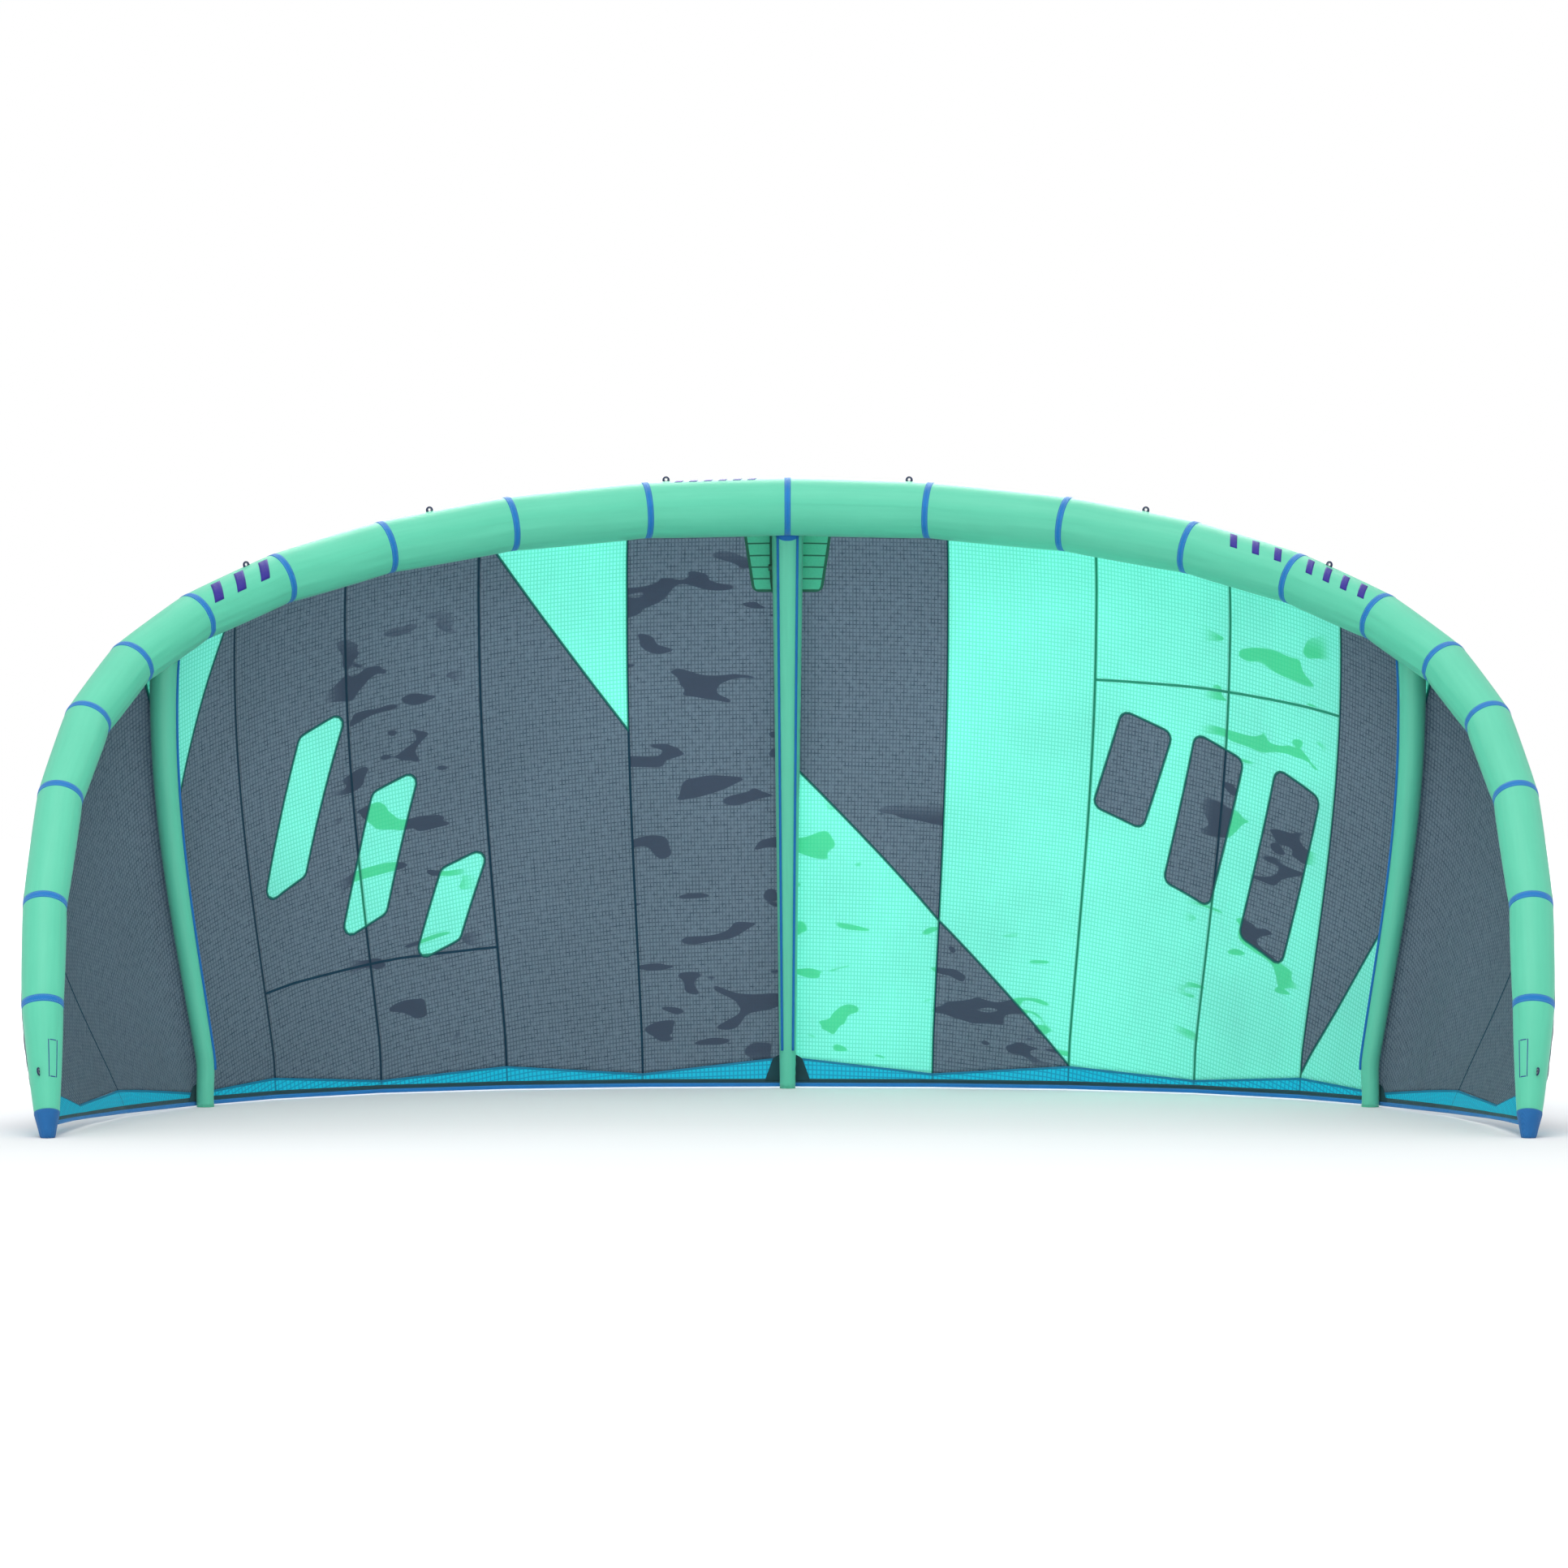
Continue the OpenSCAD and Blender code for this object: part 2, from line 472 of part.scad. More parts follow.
module valve_bayonet() color("seagreen") at_valve() difference() {
  union() {
    translate([0, 0, 2]) cylinder(h = neck_h - 2 + loose, r = plug_r, $fn = 64);
    translate([0, 0, neck_h + loose]) cylinder(h = head_h - loose, r = neck_r, $fn = 64);
    translate([0, -6, neck_h + loose]) cube([lug_x + 2, 2.5, head_h + cap_t]);
    translate([0, 3.5, neck_h + loose]) cube([lug_x + 2, 2.5, head_h + cap_t]);
    translate([lug_x, 0, hinge_z]) rotate([90, 0, 0]) cylinder(h = 8, r = pin_r, center = true, $fn = 32);
  }
  translate([0, 0, 1]) cylinder(h = neck_h + head_h, r = port_r, $fn = 64);
  translate([0, 0, neck_h + head_h]) cylinder(h = 4 * cap_t, r = neck_r + loose, $fn = 64);
}
module valve_cap() color("darkslategray") at_valve() difference() {
  union() {
    translate([0, 0, neck_h + head_h + loose]) cylinder(h = cap_t, r = neck_r - 0.5, $fn = 64);
    translate([0, 0, neck_h + head_h - 1.5]) cylinder(h = 2, r = port_r - 2 * loose, $fn = 64);
    translate([0, -3, neck_h + head_h + loose]) cube([lug_x, 6, cap_t]);
    translate([lug_x, 0, hinge_z]) rotate([90, 0, 0]) cylinder(h = 6, r = cap_t / 2 + 0.8, center = true, $fn = 32);
  }
  translate([lug_x, 0, hinge_z]) rotate([90, 0, 0]) cylinder(h = 10, r = pin_r + running, center = true, $fn = 32);
}

// ---- pump hoses and their clips ----------------------------------------------------------------
// A hose runs from the leading edge into each strut, in the groove between strut and canopy.
// side is 1 towards the tip and -1 towards the middle, seen on the right half
hose_lift = hose_r + 5.6;      // of the hose's centre line from the middle of the cloth
lever_reach = 12;
ridge_drop = 9;                // more of the lift at the middle, where the cloth folds
function hose_low(u) = hose_lift + (u == mid ? ridge_drop : 0);
function hose_across(u, side) = unit(cross(cloth_dir(u, 0.09), cloth_out(u, 0.09))) * side;
// Sideways distance from the strut's axis, so that the open lever clears the strut
function hose_x(u, root) = sqrt(pow(root + 1.7, 2) - pow(root + strut_off(u) - hose_low(u) - lever_reach, 2)) + 4.6;
function hose_point(u, root, v, side) = cloth(u, v) - cloth_out(u, v) * hose_low(u)
  + hose_across(u, side) * hose_x(u, root);
function hose_path(u, root, end, side) = let (b = hose_point(u, root, 0.14, side))
  [on_edge(u) + unit(1.35 * unit(chord(u)) + outward(u)) * (edge_r(u) - 3)
     - outward(u) * (hose_low(u) - hose_lift) + hose_across(u, side) * hose_x(u, root),
   hose_point(u, root, 0.06, side), b, mix(b, strut_point(u, root, end, 0.17), 0.45)];
module hose(u, root, end, side, s = 1) {
  path = flip_all(s, hose_path(u, root, end, side));
  last = len(path) - 1;
  tube_along(path, [for (p = path) hose_r],
    joint_dirs(path, unit(path[1] - path[0]), unit(path[last] - path[last - 1])), [1, 0, 0], hose_wall, 16);
}
module pump_hoses() color("darkgreen") {
  hose(mid, mid_root_r, mid_end_r, -1);
  for (s = [1, -1]) hose(strut_u, side_root_r, side_end_r, -1, s);
}
// Frame half way down a hose: z along it, x away from the cloth, y away from the strut
module at_clip(u, root, end, side) {
  path = hose_path(u, root, end, side);
  at_frame(mix(path[1], path[2], 0.5), -side * (path[2] - path[1]), -cloth_out(u, 0.1)) children();
}
clip_l = 18;
clip_pin_x = hose_r + 2.6;
clip_pin_y = 7;
module clip_base() difference() {
  union() {
    translate([-hose_r - 2.6, -6.5, -clip_l / 2]) cube([2.8, 15.3, clip_l]);
    translate([-hose_r - 2.6, -6.5, -clip_l / 2]) cube([2 * hose_r + 2.2, 1.2, clip_l]);
    for (z = [-clip_l / 2, clip_l / 2 - 3]) translate([-hose_r - 2.6, 5.3, z]) cube([2 * hose_r + 7, 3.5, 3]);
  }
  translate([clip_pin_x, clip_pin_y, 0]) cylinder(h = 2 * clip_l, r = pin_r + running, center = true, $fn = 32);
}
module clip_lever() {
  free = clip_l - 6.8;
  translate([clip_pin_x - 1.3, clip_pin_y - lever_reach, -free / 2]) cube([2.6, lever_reach, free]);
  translate([clip_pin_x, clip_pin_y, 0]) cylinder(h = free, r = 1.9, center = true, $fn = 32);
  translate([clip_pin_x, clip_pin_y, 0]) cylinder(h = clip_l - 0.4, r = pin_r, center = true, $fn = 32);
}
module clip_bases() color("black") {
  at_clip(mid, mid_root_r, mid_end_r, -1) clip_base();
  both_sides() at_clip(strut_u, side_root_r, side_end_r, -1) clip_base();
}
module clip_lever_centre() color("orange") at_clip(mid, mid_root_r, mid_end_r, -1) clip_lever();
module clip_lever_side() color("orange") at_clip(strut_u, side_root_r, side_end_r, -1) clip_lever();

// ---- the kite ------------------------------------------------------------------------------------
for (s = [0, 1]) mirror([s, 0, 0]) {
  for (i = [1:panels]) le_panel(i - 1);
  for (k = [1:6]) canopy_panel(k, s == 0 && k < 5 ? "aquamarine" : "slategray");
  te_band();
  clip_lever_side();
}
tip_cap(1);  // tip_cap_r
tip_cap(-1);  // tip_cap_l
le_seam_tapes();
le_bladder();
strut_sleeve(mid, mid_root_r, mid_end_r);  // strut_sleeve_centre
strut_sleeve(strut_u, side_root_r, side_end_r);  // strut_sleeve_r
strut_sleeve(strut_u, side_root_r, side_end_r, -1);  // strut_sleeve_l
strut_bladders();
strut_end_caps();
strut_piping();
te_tape();
te_hem();
canopy_patches();
bridle_tabs();
back_line_tabs();
valve_base();
valve_bayonet();
valve_cap();
pump_hoses();
clip_bases();
clip_lever_centre();
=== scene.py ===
"""The looks of a kitesurf kite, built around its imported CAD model.

Lengths are metres and angles degrees, in the model's own frame: +X along the span, +Z up, and the
hollow side of the arch towards -Y. A place on the canopy is (u, v): u counts leading-edge panels
from the middle, negative on the -X half, and v is the share of the chord behind the leading edge.
"""
import math

import bmesh
import bpy
import numpy as np
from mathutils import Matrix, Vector


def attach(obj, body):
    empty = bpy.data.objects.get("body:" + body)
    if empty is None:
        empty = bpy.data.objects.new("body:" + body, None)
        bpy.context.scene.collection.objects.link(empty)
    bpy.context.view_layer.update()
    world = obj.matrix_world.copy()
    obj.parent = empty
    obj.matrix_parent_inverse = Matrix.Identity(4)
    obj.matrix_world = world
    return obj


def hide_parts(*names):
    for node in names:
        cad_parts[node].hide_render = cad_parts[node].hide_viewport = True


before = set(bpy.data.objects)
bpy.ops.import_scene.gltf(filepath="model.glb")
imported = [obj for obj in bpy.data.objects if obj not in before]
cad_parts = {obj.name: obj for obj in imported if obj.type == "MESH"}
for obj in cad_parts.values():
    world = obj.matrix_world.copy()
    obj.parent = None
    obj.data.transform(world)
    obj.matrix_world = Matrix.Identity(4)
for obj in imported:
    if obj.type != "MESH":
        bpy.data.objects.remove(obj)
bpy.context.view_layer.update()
MM = 0.001
SIDES = (("r", 1), ("l", -1))

# ---- the kite's driving dimensions, as in the CAD model --------------------------------
PANEL_CUT = MM * np.array([440, 430, 405, 355, 315, 295, 290, 320, 380, 310, 365])
CROWN = np.array([0, 0.8722, 1.79])
FIRST_TURN, SEAM_TURN = 8.2, 7.38
SHOULDER_TURN, SHOULDER_SEAM, SHOULDER_SPREAD = 8, 6.05, 1.62
SWEEP_RATE, SWEEP_GROWTH = 4, 0.223
CROWN_R, PANEL_TAPER, TIP_R, TIP_END_R, CAP_SHARE = 0.088, 0.0033, 0.033, 0.020, 0.16
EDGE_HALF_W, EDGE_DEPTH, EDGE_FULLNESS, EDGE_LIFT, TIP_LIFT = 1.935, 1.860, 2.45, 0.003, 0.030
SEAM_U = np.array([0, 1.09, 2.17, 3.26, 4.36, 5.38, 8.4, 9.9, 10.4, 10.8])
SEAM_T = np.array([0, 9.5, 21.6, 34.8, 47.8, 59.2, 72.3, 81, 86, 90])
BAND_H = MM * np.array([92, 42, 70, 39, 62, 36, 74, 54, 150, 150])
MID_CAMBER, SIDE_CAMBER = 0.062, 0.044
TUBE_GAP = 0.0025
TAPE_W = 0.020
TUBE_CLOTH_T = 0.0010
HEM_W = 0.012
MID_ROOT_R, MID_END_R, SIDE_ROOT_R, SIDE_END_R = 0.050, 0.024, 0.041, 0.025
PIPING_R = 0.004
PANELS = len(PANEL_CUT)
STRUT_U = SEAM_U[5]
CAP_U = PANELS - CAP_SHARE
TIP_U = SEAM_U[-1]


# ---- vectors ---------------------------------------------------------------------------
def unit(a):
    return a / np.linalg.norm(a, axis=-1, keepdims=True)


def dot(a, b):
    return np.sum(a * b, axis=-1, keepdims=True)


def turns(count):
    """Angles evenly round a circle."""
    return np.linspace(0, 2 * math.pi, count, endpoint=False)


def grid(a, b):
    """Two arrays that cross a with b, a along the first axis."""
    return np.meshgrid(a, b, indexing="ij")


def smooth(x, lo, hi):
    """0 below lo, 1 above hi, and a smooth step between them."""
    t = np.clip((np.asarray(x, float) - lo) / (hi - lo), 0, 1)
    return t * t * (3 - 2 * t)


# ---- leading edge's centre line --------------------------------------------------------
def headings():
    """Direction of every panel on the +X half."""
    turn, out = FIRST_TURN, []
    for i in range(PANELS):
        if i:
            shoulder = math.exp(-(((i - SHOULDER_SEAM) / SHOULDER_SPREAD) ** 2))
            turn += SEAM_TURN + SHOULDER_TURN * shoulder
        sweep = SWEEP_RATE * (i + 0.5) + SWEEP_GROWTH * (i + 0.5) ** 2
        t, s = math.radians(turn), math.radians(sweep)
        out.append((math.cos(s) * math.cos(t), -math.cos(s) * math.sin(t), -math.sin(s)))
    return np.array(out)


HEADING = headings()
RING = CROWN + np.vstack([np.zeros(3), np.cumsum(PANEL_CUT[:, None] * HEADING, axis=0)])
RING_DIR = np.vstack([[1, 0, 0], unit(HEADING[:-1] + HEADING[1:]), HEADING[-1]])


def between(table, u):
    """Value of a table at u, with a straight line between its rows."""
    i = np.minimum(u.astype(int), len(table) - 2)
    f = (u - i)[..., None]
    return table[i] * (1 - f) + table[i + 1] * f


def on_edge(u):
    return between(RING, u)


def dir_at(u):
    return unit(between(RING_DIR, u))


def edge_r(u):
    last_r = CROWN_R - PANEL_TAPER * (PANELS - 1)
    return np.interp(u, [0, PANELS - 1, CAP_U, PANELS], [CROWN_R, last_r, TIP_R, TIP_END_R])


# ---- canopy surface --------------------------------------------------------------------
def te_point(t):
    r = np.radians(t)
    power = 2 / EDGE_FULLNESS
    past_strut = np.maximum(0, t - SEAM_T[5]) / (90 - SEAM_T[5])
    return np.stack([EDGE_HALF_W * np.sin(r) ** power,
                     CROWN[1] - EDGE_DEPTH * (1 - np.maximum(0, np.cos(r)) ** power),
                     EDGE_LIFT + TIP_LIFT * past_strut ** 2], -1)


TE_SEAMS = te_point(SEAM_T)


def at_seams(table, u):
    """Value at u of a table with one row per seam."""
    k = np.clip(np.searchsorted(SEAM_U, u, side="right") - 1, 0, len(SEAM_U) - 2)
    f = (u - SEAM_U[k]) / (SEAM_U[k + 1] - SEAM_U[k])
    if table.ndim > 1:
        f = f[..., None]
    return table[k] * (1 - f) + table[k + 1] * f


def chord(u):
    return at_seams(TE_SEAMS, u) - on_edge(u)


def chord_len(u):
    return np.linalg.norm(chord(u), axis=-1)


def outward(u):
    """Outward normal; the short chords of the tip keep the one of the last full chord."""
    w = np.minimum(u, PANELS)
    return unit(np.cross(dir_at(w), unit(chord(w))))


def rise(v):
    return v * np.maximum(0, 1 - v) ** 1.6 / 0.1769


def half_cloth(u, v):
    """The CAD model's canopy on the +X half."""
    c = chord(u)
    camber = MID_CAMBER + (SIDE_CAMBER - MID_CAMBER) * np.minimum(1, u / STRUT_U)
    hug = 1 + np.maximum(0, u - 9)
    lift = (edge_r(u) + TUBE_GAP) * (1 - v ** hug) + camber * np.linalg.norm(c, axis=-1) * rise(v)
    return on_edge(u) + c * v[..., None] + outward(u) * lift[..., None]


def whole_cloth(u, v):
    p = half_cloth(np.minimum(np.abs(u), TIP_U), v)
    return p * np.where(u[..., None] < 0, [-1, 1, 1], 1)


SOFTEN = 0.34  # how far, in panels, the cloth's folds at the mitres are rounded off
SOFTEN_STEPS = np.array([-1, -0.6, -0.2, 0.2, 0.6, 1])


def cloth(u, v):
    """The canopy that shows: the CAD surface without its folds, apart from its sewn edges."""
    u, v = np.broadcast_arrays(np.asarray(u, float), np.asarray(v, float))
    reach = SOFTEN * smooth(v, 0, 0.2) * (1 - smooth(v, 0.9, 1)) * smooth(TIP_U - np.abs(u), 0, 1.2)
    total = 0
    for step in SOFTEN_STEPS:
        total = total + whole_cloth(u + step * reach, v)
    return total / len(SOFTEN_STEPS)


def cloth_frame(u, v):
    """Point, unit vector towards the trailing edge, and outward normal of the canopy that shows."""
    e = 0.004
    u, v = np.broadcast_arrays(np.asarray(u, float), np.asarray(v, float))
    lo, hi = np.maximum(0, v - e), np.minimum(1, v + e)
    down = unit(cloth(u, hi) - cloth(u, lo))
    along = cloth(np.minimum(u + e, TIP_U), v) - cloth(np.maximum(u - e, -TIP_U), v)
    return cloth(u, v), down, unit(np.cross(along, down))


def band_v(u):
    return np.maximum(0.15, 1 - at_seams(BAND_H, np.abs(u)) / chord_len(np.abs(u)))


def from_edge_v(u, d):
    """v of the line d in front of the trailing edge."""
    return 1 - d / chord_len(np.abs(u))


def run(points):
    """Distance of every point from the first one, along the path."""
    return np.concatenate([[0], np.cumsum(np.linalg.norm(np.diff(points, axis=0), axis=1))])


ARC_U = np.linspace(0, TIP_U, 400)
ARC_L = run(half_cloth(ARC_U, np.full_like(ARC_U, 0.5)))


def flat_x(u):
    """Distance from the middle along the spread cloth."""
    return np.sign(u) * np.interp(np.abs(u), ARC_U, ARC_L)


def flat_xy(u, v):
    """Where a point of the canopy lies when the cloth is spread flat."""
    return np.stack([flat_x(u), v * chord_len(np.abs(u))], -1)


def level(q):
    """Flat places as vectors with a third number of 0."""
    return np.concatenate([q, np.zeros(q.shape[:-1] + (1,))], -1)


# ---- meshes ----------------------------------------------------------------------------
def new_piece(name, points, faces, values=None, shade=True):
    """A piece from numpy points and quads or triangles; values are numbers or vectors per point."""
    mesh = bpy.data.meshes.new(name)
    mesh.from_pydata(np.asarray(points, float).tolist(), [], [list(map(int, f)) for f in faces])
    for key, data in (values or {}).items():
        data = np.asarray(data, float)
        kind = "FLOAT_VECTOR" if data.ndim == 2 else "FLOAT"
        layer = mesh.attributes.new(key, kind, "POINT")
        layer.data.foreach_set("vector" if data.ndim == 2 else "value", data.ravel())
    mesh.update()
    obj = bpy.data.objects.new(name, mesh)
    bpy.context.scene.collection.objects.link(obj)
    if shade:
        mesh.polygons.foreach_set("use_smooth", [True] * len(mesh.polygons))
    return obj


def grid_faces(nu, nv, start=0, wrap_u=False, wrap_v=False, flip=False):
    i = np.arange(nu if wrap_u else nu - 1)
    j = np.arange(nv if wrap_v else nv - 1)
    i, j = grid(i, j)
    i2, j2 = (i + 1) % nu, (j + 1) % nv
    quads = np.stack([i * nv + j, i2 * nv + j, i2 * nv + j2, i * nv + j2], -1).reshape(-1, 4) + start
    return quads[:, ::-1] if flip else quads


def xyz(*parts):
    """Flat data of several grids, one after the other."""
    return np.concatenate([np.asarray(p).reshape(-1, np.asarray(p).shape[-1]) for p in parts])


def sheet_piece(name, top, under, values=None):
    """Closed thin sheet between two grids of points; values are numbers or vectors per point."""
    nu, nv = top.shape[:2]
    n = nu * nv
    rim = [k * nv for k in range(nu)] + [(nu - 1) * nv + k for k in range(1, nv)]
    rim += [k * nv + nv - 1 for k in range(nu - 2, -1, -1)] + list(range(nv - 2, 0, -1))
    side = [(a, n + a, n + b, b) for a, b in zip(rim, rim[1:] + rim[:1])]
    faces = np.vstack([grid_faces(nu, nv), grid_faces(nu, nv, n, flip=True), side])
    both = {}
    for key, data in (values or {}).items():
        data = np.asarray(data)
        flat = data.reshape(n, -1) if data.ndim == 3 else data.reshape(n)
        both[key] = np.concatenate([flat, flat])
    return new_piece(name, xyz(top, under), faces, both)


def cloth_piece(name, u, v, off, thick, values=None):
    """Closed sheet on the canopy: grids u and v, its middle off outwards."""
    p, _, n = cloth_frame(u, v)
    mid = p + n * np.asarray(off)[..., None]
    half = n * thick / 2
    return sheet_piece(name, mid + half, mid - half, values)


def tube_piece(name, rings, values=None, wall=0.0):
    """Tube through rings of points: hollow with open ends, or with flat ends and no wall."""
    m, n = rings.shape[:2]
    count = m * n
    faces = [tuple(f) for f in grid_faces(m, n, wrap_v=True)]
    if not wall:
        faces += [tuple(range(n)), tuple(range(count - 1, count - n - 1, -1))]
        return new_piece(name, xyz(rings), faces)
    inner = rings - unit(rings - rings.mean(axis=1, keepdims=True)) * wall
    faces += [tuple(f) for f in grid_faces(m, n, count, wrap_v=True, flip=True)]
    last = count - n
    for k in range(n):
        k2 = (k + 1) % n
        faces += [(k, k2, count + k2, count + k),
                  (last + k2, last + k, count + last + k, count + last + k2)]
    data = {key: xyz(rows, rows) for key, rows in (values or {}).items()}
    return new_piece(name, xyz(rings, inner), faces, data)


def rings_along(path, radii, count, side):
    """Round rings square to a path; side sets where each one starts."""
    path = np.asarray(path, float)
    tangent = unit(np.gradient(path, axis=0))
    x = unit(np.cross(side, tangent))
    y = np.cross(tangent, x)
    a = turns(count)
    r = np.broadcast_to(np.asarray(radii, float), (len(path),))[:, None, None]
    across = x[:, None] * np.cos(a)[None, :, None] + y[:, None] * np.sin(a)[None, :, None]
    return path[:, None] + r * across


def orient_out(obj):
    """Turns every face of a closed piece outwards."""
    bm = bmesh.new()
    bm.from_mesh(obj.data)
    bmesh.ops.recalc_face_normals(bm, faces=bm.faces)
    bm.to_mesh(obj.data)
    bm.free()
    return obj


def done(obj, material, slot, body, *nodes):
    """Gives a piece its material and its body, and hides the CAD nodes that it stands for; slot is not used.
    """
    obj.data.materials.clear()
    obj.data.materials.append(material)
    orient_out(obj)
    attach(obj, body)
    if nodes:
        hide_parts(*nodes)
    return obj


# ---- materials -------------------------------------------------------------------------
def srgb(r, g, b):
    """Linear colour of an sRGB one given from 0 to 255."""
    out = [c / 255 / 12.92 if c <= 10 else ((c / 255 + 0.055) / 1.055) ** 2.4 for c in (r, g, b)]
    return (*out, 1)


class Shade:
    """A material built from nodes."""

    def __init__(self, name, roughness=0.6, sheen=0.0, coat=0.0, specular=0.35):
        self.material = bpy.data.materials.new(name)
        self.material.use_nodes = True
        self.tree = self.material.node_tree
        self.bsdf = self.tree.nodes["Principled BSDF"]
        self.out = self.tree.nodes["Material Output"]
        self.bsdf.inputs["Roughness"].default_value = roughness
        self.bsdf.inputs["Sheen Weight"].default_value = sheen
        self.bsdf.inputs["Coat Weight"].default_value = coat
        self.bsdf.inputs["Specular IOR Level"].default_value = specular

    def plug(self, socket, value):
        if isinstance(value, bpy.types.NodeSocket):
            self.tree.links.new(value, socket)
        elif value is not None:
            socket.default_value = value

    def attr(self, name):
        node = self.tree.nodes.new("ShaderNodeAttribute")
        node.attribute_name = name
        return node.outputs

    def value(self, name):
        return self.attr(name)["Fac"]

    def place(self):
        return self.tree.nodes.new("ShaderNodeTexCoord").outputs["Object"]

    def math(self, op, a, b=None, c=None):
        node = self.tree.nodes.new("ShaderNodeMath")
        node.operation = op
        for socket, value in zip(node.inputs, (a, b, c)):
            self.plug(socket, value)
        return node.outputs[0]

    def add(self, a, b):
        return self.math("ADD", a, b)

    def times(self, a, b):
        return self.math("MULTIPLY", a, b)

    def most(self, a, b):
        return self.math("MAXIMUM", a, b)

    def vector(self, op, a, b):
        node = self.tree.nodes.new("ShaderNodeVectorMath")
        node.operation = op
        self.plug(node.inputs[0], a)
        self.plug(node.inputs[1], b)
        return node.outputs[0]

    def split(self, vector):
        node = self.tree.nodes.new("ShaderNodeSeparateXYZ")
        self.plug(node.inputs[0], vector)
        return node.outputs

    def step(self, value, lo, hi):
        """0 at lo, 1 at hi; lo may be the larger one."""
        node = self.tree.nodes.new("ShaderNodeMapRange")
        for socket, number in zip(node.inputs, (value, lo, hi, 0.0, 1.0)):
            self.plug(socket, number)
        return node.outputs[0]

    def mix(self, share, a, b):
        node = self.tree.nodes.new("ShaderNodeMix")
        node.data_type = "RGBA"
        self.plug(node.inputs["Factor"], share)
        self.plug(node.inputs[6], a)
        self.plug(node.inputs[7], b)
        return node.outputs[2]

    def noise(self, vector, scale, detail=2.0, distortion=0.0):
        node = self.tree.nodes.new("ShaderNodeTexNoise")
        self.plug(node.inputs["Vector"], vector)
        node.inputs["Scale"].default_value = scale
        node.inputs["Detail"].default_value = detail
        node.inputs["Distortion"].default_value = distortion
        return node.outputs[0]

    def lines(self, value, pitch, width):
        """1 on thin lines that repeat every pitch."""
        turn = self.math("FRACT", self.math("DIVIDE", value, pitch))
        away = self.math("ABSOLUTE", self.math("SUBTRACT", turn, 0.5))
        half = width / pitch / 2
        return self.step(away, 0.5 - half * 1.5, 0.5 - half * 0.5)

    def near(self, value, width):
        """1 where value is within half a width of 0, with a soft edge."""
        return self.step(self.math("ABSOLUTE", value), width / 2 * 1.2, width / 2 * 0.8)

    def stitches(self, across, along, offset, pitch=0.005, reach=0.0016, thread=0.0007):
        """1 on a zigzag seam that runs at an offset across the piece."""
        wave = self.math("PINGPONG", along, pitch / 2)
        sway = self.math("MULTIPLY_ADD", wave, 4 * reach / pitch, offset - reach)
        return self.near(self.math("SUBTRACT", across, sway), thread)

    def finish(self, colour, height=None, depth=0.0003, roughness=None, glow=0.0):
        """Connects the colour, a bump of that depth, and the light that the cloth lets through."""
        self.plug(self.bsdf.inputs["Base Color"], colour)
        self.plug(self.bsdf.inputs["Roughness"], roughness)
        normal = None
        if height is not None:
            bump = self.tree.nodes.new("ShaderNodeBump")
            bump.inputs["Distance"].default_value = depth
            bump.inputs["Strength"].default_value = 1.0
            self.plug(bump.inputs["Height"], height)
            normal = bump.outputs[0]
            self.plug(self.bsdf.inputs["Normal"], normal)
        if glow:
            through = self.tree.nodes.new("ShaderNodeBsdfTranslucent")
            self.plug(through.inputs["Color"], colour)
            self.plug(through.inputs["Normal"], normal)
            blend = self.tree.nodes.new("ShaderNodeMixShader")
            blend.inputs[0].default_value = glow
            self.plug(blend.inputs[1], self.bsdf.outputs[0])
            self.plug(blend.inputs[2], through.outputs[0])
            self.plug(self.out.inputs[0], blend.outputs[0])
        return self.material


RIPSTOP_X, RIPSTOP_Y, RIPSTOP_W, SEAM_W = 0.0105, 0.0122, 0.0036, 0.0075
BAND_GRID = 0.0142


def weave(m, flat, pitch_x, pitch_y, width):
    """Share of ripstop thread at a place on the flat cloth."""
    x, y, _ = m.split(flat)
    return m.most(m.lines(x, pitch_x, width), m.lines(y, pitch_y, width))


def ripstop_material():
    """Canopy cloth: slate or mint by zone, with the ripstop grid, a loose wavy print and sewn seams."""
    m = Shade("canopy_ripstop", roughness=0.5, sheen=0.08)
    flat = m.attr("flat")["Vector"]
    threads = weave(m, flat, RIPSTOP_X, RIPSTOP_Y, RIPSTOP_W)
    uneven = m.noise(flat, 55, 3)
    threads_slate = m.times(threads, m.step(uneven, 0.1, 0.75))
    slate = m.mix(threads_slate, srgb(146, 165, 178), srgb(84, 103, 119))
    mint = m.mix(m.times(threads, 0.6), srgb(178, 255, 246), srgb(122, 226, 200))
    wide = m.vector("MULTIPLY", m.vector("ADD", flat, (0.0, 0.3, 0)), (4.6, 11.5, 1))
    blots = m.noise(wide, 1.0, 0.6, 0.9)
    printed = m.times(m.step(blots, 0.625, 0.635), m.value("print"))
    slate = m.mix(printed, slate, srgb(94, 110, 130))
    mint = m.mix(m.times(printed, 0.8), mint, srgb(100, 226, 178))
    zone = m.value("zone")
    is_mint = m.step(zone, -0.0006, 0.0006)
    cloth_colour = m.mix(is_mint, slate, mint)
    seam_colour = m.mix(m.step(zone, -0.004, 0.004), srgb(44, 88, 112), srgb(66, 176, 150))
    seam = m.near(m.value("seam"), SEAM_W)
    for line in (zone, m.value("cross")):
        seam = m.most(seam, m.near(line, SEAM_W))
    colour = m.mix(seam, cloth_colour, seam_colour)
    shade = m.noise(flat, 2.4, 3)
    colour = m.mix(m.times(m.step(shade, 0.35, 0.75), 0.10), colour, srgb(60, 84, 96))
    height = m.add(m.times(threads, 0.5), m.times(seam, 1.6))
    height = m.add(height, m.times(m.noise(flat, 26, 4), 2.6))
    return m.finish(colour, height, 0.0006, glow=0.6)


